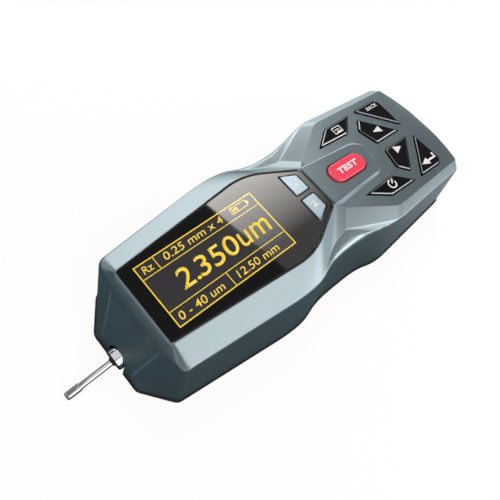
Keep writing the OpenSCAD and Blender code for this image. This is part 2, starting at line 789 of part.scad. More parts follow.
module usb_socket() {
    color("silver") usb_place() difference() {
        translate([-usb_w / 2, -usb_l, 0]) cube([usb_w, usb_l, usb_h]);
        translate([-usb_w / 2 + usb_wall, -usb_l + 2, usb_wall])
            cube([usb_w - 2 * usb_wall, usb_l, usb_h / 2 - usb_wall - usb_tongue / 2]);
        translate([-usb_w / 2 + usb_wall, -usb_l + 2, usb_h / 2 + usb_tongue / 2])
            cube([usb_w - 2 * usb_wall, usb_l, usb_h / 2 - usb_wall - usb_tongue / 2]);
        translate([-usb_w / 2 + usb_wall, -1, usb_wall])
            cube([usb_w - 2 * usb_wall, usb_l, usb_h - 2 * usb_wall]);
    }
}

// The start cap is cut level with the tongue it stands on
module key_start() {
    stem = switch_top - key_travel - key_slack - start_seat - key_flange_t;
    color("crimson") on_face() translate([start_at.x, 0, 0]) {
        difference() {
            translate([0, 0, -start_seat - over / 2])
                linear_extrude(start_seat + 4 * over) pill(start_l, start_w);
            translate([0, 0, tongue_z(tongue_x + start_x) - face_z(tongue_x + start_x) + key_proud])
                rotate([0, tongue_slope - face_slope, 0])
                    translate([-start_l, -start_w, 0]) cube([2 * start_l, 2 * start_w, 9]);
        }
        translate([0, 0, -start_seat - key_flange_t])
            linear_extrude(key_flange_t) pill(start_l + 2 * key_flange, start_w + 2 * key_flange);
        translate([0, 0, -start_seat - key_flange_t - stem]) cylinder(d = key_stem_d, h = stem + over / 2);
    }
}
soft_stem = ceiling_h - key_slack - key_flange_t - board_h - switch_h - key_travel - key_slack;
module soft_cap(side) {
    color("lightsteelblue") scale([1, side, 1]) translate([nose, 0, body_h])
        key(soft_key, key_proud / 2, lens_t + deck_t + key_slack, soft_stem);
}
module key_soft_left() {
    soft_cap(1);
}
module key_soft_right() {
    soft_cap(-1);
}
module key_save() {
    color("black") face_key(side_key, 1);
}
module key_power() {
    color("black") face_key(side_key, -1);
}
module key_esc() {
    color("black") face_key(corner_key, 1);
}
module key_enter() {
    color("black") face_key(corner_key, -1);
}
module key_up() {
    color("black") face_key(arrow_key, 1);
}
module key_down() {
    color("black") face_key(arrow_key, -1);
}

module key_board() {
    color("darkgreen") difference() {
        on_face() translate([key_board_x, 0, -key_board_top - board_t]) linear_extrude(board_t) polygon([
            [0, -11], [10, -key_board_w / 2], [key_board_l, -key_board_w / 2],
            [key_board_l, key_board_w / 2], [10, key_board_w / 2], [0, 11]
        ]);
        at_key_posts() translate([0, 0, -board_t - over])
            cylinder(d = board_screw_d + 2 * fit_gap, h = board_t + 2 * over);
    }
}
module key_switches() {
    color("dimgray") on_face() {
        for (pts = [side_key, corner_key, arrow_key], s = [-1, 1])
            translate([middle(pts).x - switch_w / 2, s * middle(pts).y - switch_w / 2, -key_board_top])
                cube([switch_w, switch_w, switch_h]);
        translate([start_at.x - switch_w / 2, -switch_w / 2, -key_board_top])
            cube([switch_w, switch_w, switch_h]);
    }
}
module board_screw() {
    translate([0, 0, -board_t - board_head_h]) {
        cylinder(d = board_screw_d * 1.8, h = board_head_h);
        cylinder(d = board_screw_d, h = board_head_h + board_t + board_screw_l);
    }
}
module board_screws() {
    color("silver") {
        at_main_posts() board_screw();
        at_key_posts() board_screw();
    }
}
module battery_pack() {
    color("steelblue") translate([tail - battery_x - battery_l, -battery_w / 2, base_t])
        linear_extrude(battery_h) polygon(rounded(
            [[0, 0], [battery_l, 0], [battery_l, battery_w], [0, battery_w]], 2));
}

// Drive frame: two bearing plates and a motor plate under one web
plates = [0, bearing_x, motor_face];
module frame_part(x, h, d) {
    translate([nose + frame_x + x, 0, rod_h]) rotate([0, 90, 0]) cylinder(d = d, h = h);
}
module at_rods() {
    for (s = [-1, 1]) translate([0, s * rod_gap / 2, 0]) children();
}
module drive_frame() {
    color("lightgray") difference() {
        union() {
            translate([nose + frame_x, -frame_w / 2, web_h]) cube([frame_l, frame_w, web_t]);
            for (x = plates) translate([nose + frame_x + x, -frame_w / 2, base_t])
                cube([plate_t, frame_w, web_h + web_t - base_t]);
        }
        at_rods() frame_part(-over, bearing_x + plate_t + 2 * over, rod_d);
        frame_part(-over, bearing_x + plate_t + 2 * over, bush_d);
        frame_part(motor_face - over, plate_t + 2 * over, coupling_d + 2 * coupling_gap);
        tunnel(tunnel_r, nose + frame_x - over, nose + frame_x + plate_t + over);
        for (p = foot_places) translate([p.x, p.y, base_t - over])
            cylinder(d = frame_screw_d + 2 * pilot_gap, h = frame_screw_l + over);
    }
}
module frame_screws() {
    color("silver") for (p = foot_places) translate([p.x, p.y, fit_gap]) {
        cylinder(d = frame_head_d, h = frame_head_h);
        cylinder(d = frame_screw_d, h = frame_screw_l);
    }
}
module guide_rods() {
    color("silver") at_rods() frame_part(0, bearing_x + plate_t, rod_d);
}
module screw_bushes() {
    color("goldenrod") difference() {
        for (x = [0, bearing_x]) frame_part(x, plate_t, bush_d);
        frame_part(-over, bearing_x + plate_t + 2 * over, lead_d + 2 * run_gap);
    }
}
screw_end_gap = 0.3;
shaft_l = plate_t + coupling_gap + coupling_l / 2 - screw_end_gap;
shaft_in = 4;
module lead_screw() {
    color("silver") frame_part(screw_end_gap, coupling_end - screw_end_gap - coupling_l / 2, lead_d);
}
module shaft_coupling() {
    color("dimgray") difference() {
        frame_part(coupling_end - coupling_l, coupling_l, coupling_d);
        frame_part(coupling_end - coupling_l - over, coupling_l / 2 + over, lead_d);
        frame_part(coupling_end - coupling_l / 2, coupling_l / 2 + over, shaft_d);
    }
}
module motor_shaft() {
    color("silver") frame_part(frame_l - shaft_l, shaft_l + shaft_in - fit_gap, shaft_d);
}
module drive_motor() {
    color("gray") difference() {
        frame_part(frame_l, motor_l, motor_d);
        frame_part(frame_l - over, shaft_in + over, shaft_d + 2 * run_gap);
    }
}

// Carriage on the rods, with two ears for the pickup's pivot
carriage_low = rod_h - carriage_h / 2;
pivot = [nose + pivot_x, 0, pivot_h];
ear_y = holder_w / 2 + 0.3;
ear_l = 8;
module carriage() {
    color("silver") difference() {
        union() {
            translate([nose + frame_x + carriage_x, -carriage_w / 2, carriage_low])
                cube([carriage_l, carriage_w, carriage_h]);
            for (s = [0, 1]) mirror([0, s, 0]) translate([pivot.x - ear_l / 2, ear_y, pivot_h - 2.6])
                cube([ear_l, ear_t, carriage_low - pivot_h + 2.6 + over]);
        }
        at_rods() frame_part(0, frame_l, rod_d + 2 * run_gap);
        frame_part(0, frame_l, lead_d + 2 * run_gap);
        translate([pivot.x, 0, pivot_h]) rotate([90, 0, 0])
            cylinder(d = pivot_d, h = 2 * (ear_y + ear_t + over), center = true);
    }
}
module pivot_pin() {
    color("silver") translate(pivot) rotate([90, 0, 0])
        cylinder(d = pivot_d, h = 2 * (ear_y + ear_t), center = true);
}

// The pickup lies along -X of a frame that droops about the pivot
module in_pickup() {
    translate(pivot) rotate([0, -droop, 0]) children();
}
module along(x0, x1, d) {
    translate([-x1, 0, 0]) rotate([0, 90, 0]) cylinder(d = d, h = x1 - x0);
}
holder_front = holder_l - 3.6;
tube_end = collar_x + collar_l + tube_l;
head_end = tube_end + head_l;
socket_l = 3;
module pickup_holder() {
    color("gray") in_pickup() difference() {
        translate([-holder_front, -holder_w / 2, -holder_h / 2]) cube([holder_l, holder_w, holder_h]);
        rotate([90, 0, 0]) cylinder(d = pivot_d + 2 * run_gap, h = holder_w + 2 * over, center = true);
        along(holder_front - socket_l, holder_front + over, stem_d);
    }
}
module pickup_collar() {
    color("silver") in_pickup() difference() {
        union() {
            along(holder_front - socket_l, collar_x + over, stem_d);
            along(collar_x, collar_x + collar_l, collar_d);
        }
        along(knife_x - 1.5, collar_x + collar_l + over, tube_bore);
        along(collar_x + collar_l - 2, collar_x + collar_l + over, tube_d);
    }
}
module pickup_tube() {
    color("silver") in_pickup() difference() {
        along(collar_x + collar_l - 2, tube_end, tube_d);
        along(collar_x, tube_end + over, tube_bore);
    }
}
stylus_at = head_end - stylus_in;
module skid_head() {
    color("silver") in_pickup() difference() {
        along(tube_end, head_end, head_d);
        along(tube_end - over, head_end - 0.8, tube_bore);
        translate([-stylus_at, 0, -head_d]) cylinder(d = tube_bore, h = head_d);
    }
}
arm_end = head_end - 1.2;
module stylus_arm() {
    color("gray") in_pickup() difference() {
        along(knife_x - 0.6, arm_end, arm_d);
        translate([-stylus_at, 0, -arm_d]) cylinder(d = stylus_d, h = 2 * arm_d);
    }
}
module stylus_tip() {
    point_l = 0.4;
    color("black") in_pickup() translate([-stylus_at, 0, 0]) {
        translate([0, 0, -head_d / 2 - stylus_out + point_l])
            cylinder(d = stylus_d, h = head_d / 2 + stylus_out - point_l + arm_d / 2);
        translate([0, 0, -head_d / 2 - stylus_out]) cylinder(d1 = 0.05, d2 = stylus_d, h = point_l);
    }
}

upper_housing();
base_cover();
stand_insert();
housing_screws();
display_lens();
display_panel();
main_board();
soft_switches();
usb_socket();
key_start();
key_soft_left();
key_soft_right();
key_save();
key_power();
key_esc();
key_enter();
key_up();
key_down();
key_board();
key_switches();
board_screws();
battery_pack();
drive_frame();
frame_screws();
guide_rods();
screw_bushes();
lead_screw();
shaft_coupling();
motor_shaft();
drive_motor();
carriage();
pivot_pin();
pickup_holder();
pickup_collar();
pickup_tube();
skid_head();
stylus_arm();
stylus_tip();
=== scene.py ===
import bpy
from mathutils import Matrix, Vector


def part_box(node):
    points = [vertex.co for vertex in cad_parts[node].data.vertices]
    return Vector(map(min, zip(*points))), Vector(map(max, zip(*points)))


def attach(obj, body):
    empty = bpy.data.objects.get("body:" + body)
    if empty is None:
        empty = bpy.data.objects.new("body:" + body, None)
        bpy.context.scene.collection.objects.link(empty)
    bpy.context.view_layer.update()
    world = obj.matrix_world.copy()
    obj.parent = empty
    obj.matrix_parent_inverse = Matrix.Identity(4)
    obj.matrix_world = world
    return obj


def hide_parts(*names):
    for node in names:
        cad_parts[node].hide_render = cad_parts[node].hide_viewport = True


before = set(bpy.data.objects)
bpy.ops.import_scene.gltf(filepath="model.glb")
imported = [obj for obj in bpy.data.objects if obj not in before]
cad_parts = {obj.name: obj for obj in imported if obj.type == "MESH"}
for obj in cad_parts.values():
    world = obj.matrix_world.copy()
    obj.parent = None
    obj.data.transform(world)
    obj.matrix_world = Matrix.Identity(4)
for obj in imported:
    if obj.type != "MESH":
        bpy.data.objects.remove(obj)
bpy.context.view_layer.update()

# The camera looks down on the window from the nose end and from one side, as in the photograph.
# Its place and lens were fitted to the edges of the window, the keys and the base.
import math

import bpy
import bmesh
from mathutils import Matrix, Vector

camera = bpy.data.objects.new("camera", bpy.data.cameras.new("camera"))
camera.data.sensor_width = 36
camera.data.lens = 38.887
camera.data.clip_start = 0.005
camera.location = (-0.09624, -0.05494, 0.19823)
camera.rotation_euler = (0.47250876, -0.13208997, -0.70871907)
bpy.context.scene.collection.objects.link(camera)
bpy.context.scene.camera = camera
bpy.context.scene.view_settings.view_transform = "Standard"

# Floor: a white sheet under the object that keeps a soft shadow.
# In reflections it is dull close to the object, as under a dark card, and pale further out
# and on the far side.
mm = 0.001


def link(name, mesh):
    piece = bpy.data.objects.new(name, mesh)
    bpy.context.scene.collection.objects.link(piece)
    return piece


def node(tree, kind, links=None, **values):
    made = tree.nodes.new(kind)
    for label, value in values.items():
        setattr(made, label, value)
    for socket, source in (links or {}).items():
        if isinstance(source, bpy.types.NodeSocket):
            tree.links.new(source, made.inputs[socket])
        else:
            made.inputs[socket].default_value = source
    return made


floor_reach, floor_drop = 3.0, 0.05 * mm
dull_from, dull_to, dull_x = 0.18, 0.38, -0.15
dull_level, pale_level = 0.01, 0.86
far_way, far_from, far_to = (0.55, 0.83, 0), 0.10, 0.17
lamps_to, lamps_fade = 0.25, 1.0
lit_level, lit_tone, bare_tone = 0.94, (1, 0.96, 0.94, 1), (1, 1, 1, 1)
floor_mesh = bpy.data.meshes.new("floor")
floor_mesh.from_pydata(
    [(x * floor_reach, y * floor_reach, -floor_drop) for x, y in ((-1, -1), (1, -1), (1, 1), (-1, 1))],
    [], [(0, 1, 2, 3)])
floor = link("floor", floor_mesh)
floor_sheet = bpy.data.materials.new("floor_sheet")
floor_sheet.use_nodes = True
tree = floor_sheet.node_tree
tree.nodes.clear()
rays = node(tree, "ShaderNodeLightPath")
place = node(tree, "ShaderNodeTexCoord")
off_mid = node(tree, "ShaderNodeVectorMath", {
    0: place.outputs["Object"], 1: (dull_x, 0, 0)}, operation="SUBTRACT")
reach = node(tree, "ShaderNodeVectorMath", {0: off_mid.outputs[0]}, operation="LENGTH")
far = node(tree, "ShaderNodeMapRange", {
    "Value": reach.outputs["Value"], "From Min": dull_from, "From Max": dull_to,
    "To Min": dull_level, "To Max": pale_level})
to_far_side = node(tree, "ShaderNodeVectorMath", {
    0: place.outputs["Object"], 1: far_way}, operation="DOT_PRODUCT")
far_side = node(tree, "ShaderNodeMapRange", {
    "Value": to_far_side.outputs["Value"], "From Min": far_from, "From Max": far_to,
    "To Min": 0.0, "To Max": pale_level})
pale = node(tree, "ShaderNodeMath", {
    0: far.outputs["Result"], 1: far_side.outputs["Result"]}, operation="MAXIMUM")
mirrored_rays = node(tree, "ShaderNodeMath", {
    0: rays.outputs["Is Glossy Ray"], 1: rays.outputs["Is Transmission Ray"]}, operation="MAXIMUM")
seen_in_gloss = node(tree, "ShaderNodeMath", {
    0: mirrored_rays.outputs[0], 1: pale.outputs[0]}, operation="MULTIPLY")
away = node(tree, "ShaderNodeMapRange", {
    "Value": reach.outputs["Value"], "From Min": lamps_to, "From Max": lamps_to + lamps_fade})
to_eye = node(tree, "ShaderNodeMapRange", {
    "Value": away.outputs["Result"], "To Min": lit_level, "To Max": 1.0})
seen = node(tree, "ShaderNodeMath", {
    0: rays.outputs["Is Camera Ray"], 1: to_eye.outputs["Result"], 2: seen_in_gloss.outputs[0]},
    operation="MULTIPLY_ADD")
tone = node(tree, "ShaderNodeMix", data_type="RGBA")
tree.links.new(away.outputs["Result"], tone.inputs["Factor"])
tone.inputs[6].default_value, tone.inputs[7].default_value = lit_tone, bare_tone
glow = node(tree, "ShaderNodeEmission", {"Color": tone.outputs[2], "Strength": seen.outputs[0]})
sheet = node(tree, "ShaderNodeBsdfDiffuse", {"Color": (0.065, 0.11, 0.132, 1)})
both = node(tree, "ShaderNodeAddShader", {0: glow.outputs[0], 1: sheet.outputs[0]})
node(tree, "ShaderNodeOutputMaterial", {"Surface": both.outputs[0]})
floor_mesh.materials.append(floor_sheet)

# Studio: a white surround to the eye, to the object bright at the horizon and grey above, with softboxes
# at its sides, shoulder and nose and one overhead that is kept out of reflections. A graded card's edge
# shows as the diagonal shine in the window, and a pale card in the chrome.
horizon, nose_horizon, zenith = 0.85, 0.45, 0.18
world = bpy.data.worlds.new("studio")
bpy.context.scene.world = world
world.use_nodes = True
tree = world.node_tree
rays = node(tree, "ShaderNodeLightPath")
place = node(tree, "ShaderNodeTexCoord")
axes = node(tree, "ShaderNodeSeparateXYZ", {0: place.outputs["Generated"]})
side_sky = node(tree, "ShaderNodeMapRange", {
    "Value": axes.outputs["Z"], "From Min": 0.03, "From Max": 0.16, "To Min": horizon, "To Max": zenith})
nose_sky = node(tree, "ShaderNodeMapRange", {
    "Value": axes.outputs["Z"], "From Min": 0.0, "From Max": 0.7, "To Min": nose_horizon, "To Max": zenith})
to_side = node(tree, "ShaderNodeMapRange", {"Value": axes.outputs["X"], "From Min": -0.5, "From Max": -0.1})
sky = node(tree, "ShaderNodeMix", {
    0: to_side.outputs["Result"], 2: nose_sky.outputs["Result"], 3: side_sky.outputs["Result"]})
level = node(tree, "ShaderNodeMath", {
    0: rays.outputs["Is Camera Ray"], 1: sky.outputs[0]}, operation="MAXIMUM")
tree.links.new(level.outputs[0], tree.nodes["Background"].inputs["Strength"])
tree.nodes["Background"].inputs["Color"].default_value = (1, 1, 1, 1)


def softbox(name, place, aim, size, power, color=(1, 0.93, 0.89)):
    light = bpy.data.objects.new(name, bpy.data.lights.new(name, "AREA"))
    light.data.shape = "RECTANGLE"
    light.data.size, light.data.size_y = size
    light.data.energy, light.data.color = power, color
    light.location = place
    light.rotation_euler = (Vector(aim) - Vector(place)).to_track_quat("-Z", "Y").to_euler()
    bpy.context.scene.collection.objects.link(light)
    return light


softbox("near_softbox", (0.12, -0.62, 0.55), (0.0, -0.02, 0.03), (0.85, 0.60), 2.4)
softbox("far_softbox", (0.42, 0.72, 0.26), (0.08, 0.02, 0.03), (1.20, 0.36), 2.7)
softbox("tail_softbox", (0.50, -0.66, 0.24), (0.03, 0, 0.03), (0.54, 0.24), 1.10)
softbox("shoulder_softbox", (0.34, -0.35, 0.80), (0.04, -0.02, 0.03), (0.28, 0.22), 0.15)
softbox("nose_softbox", (-0.10, -0.62, 0.16), (-0.08, 0, 0.01), (0.36, 0.20), 0.28)
fill = softbox("overhead_fill", (0, 0, 1.10), (0, 0, 0), (1.20, 1.20), 5.0)
fill.visible_glossy = False

card_z, card_dim, card_bright = 0.535, 1.1, 12.5
card_mesh = bpy.data.meshes.new("overhead_card")
card_mesh.from_pydata(
    [(0.220, 0.060, card_z), (0.62, 0.060, card_z), (0.62, 0.32, card_z), (0.178, 0.32, card_z)],
    [], [(0, 3, 2, 1)])
card = link("overhead_card", card_mesh)
card_glow = bpy.data.materials.new("card_glow")
card_glow.use_nodes = True
tree = card_glow.node_tree
tree.nodes.clear()
place = node(tree, "ShaderNodeTexCoord")
axes = node(tree, "ShaderNodeSeparateXYZ", {0: place.outputs["Object"]})
fade_y = node(tree, "ShaderNodeMapRange", {
    "Value": axes.outputs["Y"], "From Min": 0.13, "From Max": 0.25,
    "To Min": card_dim, "To Max": card_bright})
fade_x = node(tree, "ShaderNodeMapRange", {
    "Value": axes.outputs["X"], "From Min": 0.31, "From Max": 0.40, "To Min": 1.0, "To Max": 0.02})
fade = node(tree, "ShaderNodeMath", {
    0: fade_y.outputs["Result"], 1: fade_x.outputs["Result"]}, operation="MULTIPLY")
glow = node(tree, "ShaderNodeEmission", {"Color": (1, 0.97, 0.92, 1), "Strength": fade.outputs[0]})
node(tree, "ShaderNodeOutputMaterial", {"Surface": glow.outputs[0]})
card_mesh.materials.append(card_glow)
pale_z, pale_strength = 0.6, 0.75
pale_mesh = bpy.data.meshes.new("pale_card")
pale_mesh.from_pydata(
    [(x, y, pale_z) for x, y in ((-0.235, -0.25), (-0.235, 0.75), (-0.10, 0.75), (-0.10, -0.25))],
    [], [(0, 1, 2, 3)])
pale_card = link("pale_card", pale_mesh)
pale_glow = bpy.data.materials.new("pale_glow")
pale_glow.use_nodes = True
tree = pale_glow.node_tree
tree.nodes.clear()
glow = node(tree, "ShaderNodeEmission", {"Color": (0.95, 0.93, 1, 1), "Strength": pale_strength})
node(tree, "ShaderNodeOutputMaterial", {"Surface": glow.outputs[0]})
pale_mesh.materials.append(pale_glow)


# Base cover: a flat black moulding that closes the housing from below; its edge shows as a black line.
# Fine spark-eroded grain; its screws are steel, the insert for a stand is turned brass.
def new_group(name, inputs, outputs):
    group = bpy.data.node_groups.new(name, "ShaderNodeTree")
    for label, kind, value in inputs:
        group.interface.new_socket(label, in_out="INPUT", socket_type=kind).default_value = value
    for label, kind in outputs:
        group.interface.new_socket(label, in_out="OUTPUT", socket_type=kind)
    return group, group.nodes.new("NodeGroupInput"), group.nodes.new("NodeGroupOutput")


def vary(group, given, made, pattern, relief):
    """Ends a finish group: colour and roughness vary with a pattern, and the height is the relief's."""
    tint = node(group, "ShaderNodeMath", {
        0: pattern.outputs["Fac"], 1: given.outputs["Shade"], 2: 1.0}, operation="MULTIPLY_ADD")
    dim = node(group, "ShaderNodeMath", {
        0: given.outputs["Shade"], 1: -0.5, 2: tint.outputs[0]}, operation="MULTIPLY_ADD")
    shaded = node(group, "ShaderNodeVectorMath", {
        0: given.outputs["Color"], "Scale": dim.outputs[0]}, operation="SCALE")
    uneven = node(group, "ShaderNodeMath", {0: pattern.outputs["Fac"], 1: 0.5}, operation="SUBTRACT")
    rough = node(group, "ShaderNodeMath", {
        0: uneven.outputs[0], 1: given.outputs["Spread"], 2: given.outputs["Roughness"]},
        operation="MULTIPLY_ADD")
    group.links.new(shaded.outputs["Vector"], made.inputs["Color"])
    group.links.new(rough.outputs[0], made.inputs["Roughness"])
    group.links.new(relief.outputs["Fac"], made.inputs["Height"])


FLOAT, COLOR = "NodeSocketFloat", "NodeSocketColor"
grain_group, given, made = new_group(
    "moulded_grain",
    [("Color", COLOR, (0.5, 0.5, 0.5, 1)), ("Shade", FLOAT, 0.1), ("Roughness", FLOAT, 0.5),
     ("Spread", FLOAT, 0.1), ("Grains per Metre", FLOAT, 4000.0)],
    [("Color", COLOR), ("Roughness", FLOAT), ("Height", FLOAT)])
place = node(grain_group, "ShaderNodeTexCoord")
grain = node(grain_group, "ShaderNodeTexNoise", {
    "Vector": place.outputs["Object"], "Scale": given.outputs["Grains per Metre"], "Detail": 3.0})
cloud = node(grain_group, "ShaderNodeTexNoise", {
    "Vector": place.outputs["Object"], "Scale": 55.0, "Detail": 4.0})
vary(grain_group, given, made, cloud, grain)


def finish_with(group, name, values, bump, metallic=0.0, **shader_values):
    """A material whose colour, roughness and relief come from one shared group."""
    material = bpy.data.materials.new(name)
    material.use_nodes = True
    tree = material.node_tree
    shader = tree.nodes["Principled BSDF"]
    finish = node(tree, "ShaderNodeGroup", node_tree=group)
    for label, value in values.items():
        finish.inputs[label].default_value = value
    tree.links.new(finish.outputs["Color"], shader.inputs["Base Color"])
    tree.links.new(finish.outputs["Roughness"], shader.inputs["Roughness"])
    relief = node(tree, "ShaderNodeBump", {
        "Height": finish.outputs["Height"], "Strength": bump, "Distance": 0.02 * mm})
    tree.links.new(relief.outputs["Normal"], shader.inputs["Normal"])
    shader.inputs["Metallic"].default_value = metallic
    for label, value in shader_values.items():
        shader.inputs[label.replace("_", " ")].default_value = value
    return material


def moulded(name, color, shade, roughness, spread, grains, bump, **shader_values):
    return finish_with(grain_group, name, {
        "Color": (*color, 1), "Shade": shade, "Roughness": roughness, "Spread": spread,
        "Grains per Metre": grains}, bump, **shader_values)


marks_group, given, made = new_group(
    "tool_marks",
    [("Color", COLOR, (0.6, 0.6, 0.6, 1)), ("Shade", FLOAT, 0.1), ("Roughness", FLOAT, 0.3),
     ("Spread", FLOAT, 0.1), ("Lines per Metre", FLOAT, 6000.0), ("Stretch", FLOAT, 0.02)],
    [("Color", COLOR), ("Roughness", FLOAT), ("Height", FLOAT)])
place = node(marks_group, "ShaderNodeTexCoord")
across_lines = node(marks_group, "ShaderNodeMath", {
    0: given.outputs["Lines per Metre"], 1: given.outputs["Stretch"]}, operation="MULTIPLY")
lines = node(marks_group, "ShaderNodeCombineXYZ", {
    "X": given.outputs["Lines per Metre"], "Y": across_lines.outputs[0], "Z": across_lines.outputs[0]})
drawn = node(marks_group, "ShaderNodeVectorMath", {
    0: place.outputs["Object"], 1: lines.outputs[0]}, operation="MULTIPLY")
streak = node(marks_group, "ShaderNodeTexNoise", {"Vector": drawn.outputs[0], "Scale": 1.0, "Detail": 3.0})
vary(marks_group, given, made, streak, streak)


def machined(name, color, shade, roughness, spread, lines, stretch, bump, **shader_values):
    return finish_with(marks_group, name, {
        "Color": (*color, 1), "Shade": shade, "Roughness": roughness, "Spread": spread,
        "Lines per Metre": lines, "Stretch": stretch}, bump, metallic=1.0, **shader_values)


def dress(material, *names):
    for name in names:
        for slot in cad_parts[name].material_slots:
            slot.material = material


dress(moulded("base_black", (0.012, 0.013, 0.014), 0.3, 0.55, 0.15, 5000, 0.35), "base_cover")
ground_steel = machined("ground_steel", (0.60, 0.60, 0.61), 0.12, 0.28, 0.12, 9000, 0.03, 0.2)
dress(ground_steel, "housing_screws")
turned_brass = machined("turned_brass", (0.72, 0.52, 0.22), 0.12, 0.30, 0.10, 8000, 0.05, 0.2)
dress(turned_brass, "stand_insert")

# Traverse drive: a bent and machined aluminium frame with ground steel rods and screw in brass bushes.
# The motor turns the screw through a coupling, and the carriage carries the pickup.
milled_aluminium = machined("milled_aluminium", (0.66, 0.67, 0.68), 0.10, 0.38, 0.14, 3500, 0.08, 0.3)
dress(milled_aluminium, "drive_frame", "carriage", "shaft_coupling", "pickup_holder")
dress(ground_steel, "frame_screws", "guide_rods", "lead_screw", "motor_shaft", "pivot_pin", "stylus_arm")
dress(turned_brass, "screw_bushes")
dress(machined("motor_can", (0.52, 0.52, 0.53), 0.15, 0.35, 0.1, 2500, 0.05, 0.2), "drive_motor")

# Battery and boards: a sleeved pack on the base, two green boards on posts of the housing,
# with moulded switches under the keys and a pressed steel data socket at the side.
dress(moulded("battery_sleeve", (0.05, 0.14, 0.36), 0.25, 0.42, 0.2, 900, 0.25), "battery_pack")
dress(moulded("solder_resist", (0.012, 0.10, 0.04), 0.35, 0.38, 0.2, 1500, 0.2), "main_board", "key_board")
dress(moulded("switch_black", (0.03, 0.03, 0.03), 0.2, 0.5, 0.1, 4000, 0.3), "soft_switches", "key_switches")
dress(ground_steel, "board_screws")
dress(machined("pressed_steel", (0.58, 0.58, 0.59), 0.1, 0.30, 0.1, 4000, 0.1, 0.15), "usb_socket")
dress(moulded("display_glass", (0.02, 0.02, 0.018), 0.2, 0.15, 0.05, 2000, 0.02), "display_panel")

# Upper housing: one moulded shell with a faceted nose, a waist and a sloping keypad face,
# sprayed with satin metallic grey paint. Four screws from below hold it to the base.
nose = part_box("upper_housing")[0][0] / mm
joint_h, rim_h, edge_h, band_h, body_h = 1.8, 7.5, 29.4, 30.3, 35.0
face_x, face_h, face_slope = 96.0, 32.6, math.radians(4.85)
face_tan = math.tan(face_slope)
wall, deck_h, ceiling_h = 2.0, 33.2, 31.4
nose_foot, lip_out, lip_cut = (1.2, 9.2), 0.7, 0.72


def face_z(d):
    return face_h - max(0, d - face_x) * face_tan


def points(z, *pairs):
    return [Vector((nose + d, y, z(d) if callable(z) else z)) for d, y in pairs]


def tail_edge(d, half_w, bow, z):
    return points(z, *((d - bow * f * f, f * half_w) for f in (1, 2 / 3, 1 / 3)))


def back_off(a, p, s):
    return p + (a - p).normalized() * min(s, (a - p).length * 0.45)


def bend(a, p, c, s, steps, after=None):
    """A rounded corner at p between a and c, that starts s before it and ends after it."""
    u, v = back_off(a, p, s), back_off(c, p, s if after is None else after)
    return [u * (1 - t) ** 2 + p * (2 * t * (1 - t)) + v * t ** 2
            for t in (i / steps for i in range(steps + 1))]


def across(p):
    return Vector((p.x, -p.y, p.z))


def soften(line, rounds, steps, run=5):
    """Half outline from nose to tail, its corners rounded and its straight runs in short lengths."""
    half = []
    for k, p in enumerate(line):
        before = line[k - 1] if k else across(p)
        after = line[k + 1] if k + 1 < len(line) else across(p)
        turn = bend(before, p, after, rounds[k], steps)
        if half:
            half += [half[-1].lerp(turn[0], i / run) for i in range(1, run)]
        half += turn
    return half


def inset(line, d, dz=0.0):
    """Half outline moved inwards by d in plan."""
    moved = []
    for k, p in enumerate(line):
        way_in = (p - line[k - 1]).xy.normalized() if k else Vector((0, 1))
        way_out = (line[k + 1] - p).xy.normalized() if k + 1 < len(line) else Vector((0, -1))
        n1, n2 = Vector((way_in.y, -way_in.x)), Vector((way_out.y, -way_out.x))
        shift = (n1 + n2) / (1 + n1.dot(n2)) * d
        moved.append(Vector((p.x + shift.x, p.y + shift.y, p.z + dz)))
    return moved


def between(values, share):
    """Value at a share of the way through a list."""
    at = share * (len(values) - 1)
    k = min(int(at), len(values) - 2)
    return values[k] + (values[k + 1] - values[k]) * (at - k)


def round_over(levels, rounds, steps=4):
    """Rings through stacked half outlines, each inner level's edge rounded over below and above."""
    columns, last = [], len(levels[0]) - 1
    for c, column in enumerate(zip(*levels)):
        up = [column[0]]
        for k in range(1, len(column) - 1):
            below, above = (between(values, c / last) for values in rounds[k - 1])
            up += bend(column[k - 1], column[k], column[k + 1], below, steps, above)
        columns.append(up + [column[-1]])
    return [list(ring) for ring in zip(*columns)]


def closed_mesh(name, verts, faces):
    mesh = bpy.data.meshes.new(name)
    mesh.from_pydata([v * mm for v in verts], [], faces)
    form = bmesh.new()
    form.from_mesh(mesh)
    bmesh.ops.recalc_face_normals(form, faces=form.faces)
    form.to_mesh(mesh)
    form.free()
    return mesh


def stacked(name, rings, strips=False):
    """Closed mesh through a stack of closed rings; its ends are strips or single faces."""
    n, last = len(rings[0]), (len(rings) - 1) * len(rings[0])
    faces = [(r + j, r + (j + 1) % n, r + n + (j + 1) % n, r + n + j)
             for r in range(0, last, n) for j in range(n)]
    if strips:
        for low in (0, last):
            faces += [(low + i, low + i + 1, low + n - 2 - i, low + n - 1 - i) for i in range(n // 2 - 1)]
    else:
        faces += [tuple(range(n)), tuple(range(last, last + n))]
    return closed_mesh(name, [p for ring in rings for p in ring], faces)


def mirrored(half):
    return half + [across(p) for p in reversed(half)]


base_line = points(joint_h, (0, 13), (9, 25.3), (64, 31.8), (75.8, 27.7), (99.2, 27.7), (108.8, 30.7))
base_line += tail_edge(158.5, 26.8, 3.6, joint_h)
lens_line = points(body_h, (14, 14.9), (72, 19.8), (91.4, 9))
lip_line = inset(lens_line, -lip_out)
top_line = [lip_line[0] - Vector((0, lip_cut, 0)), lip_line[0] + Vector((lip_cut, 0, 0)), *lip_line[1:]]
top_line += points(face_z, (face_x, 12.6), (115, 24))
top_line += tail_edge(157.8, 22.5, 3.06, face_z(157.8 - 3.6))


def nose_at(z):
    foot = points(rim_h, nose_foot)[0]
    return foot.lerp(top_line[0], (z - rim_h) / (body_h - rim_h))


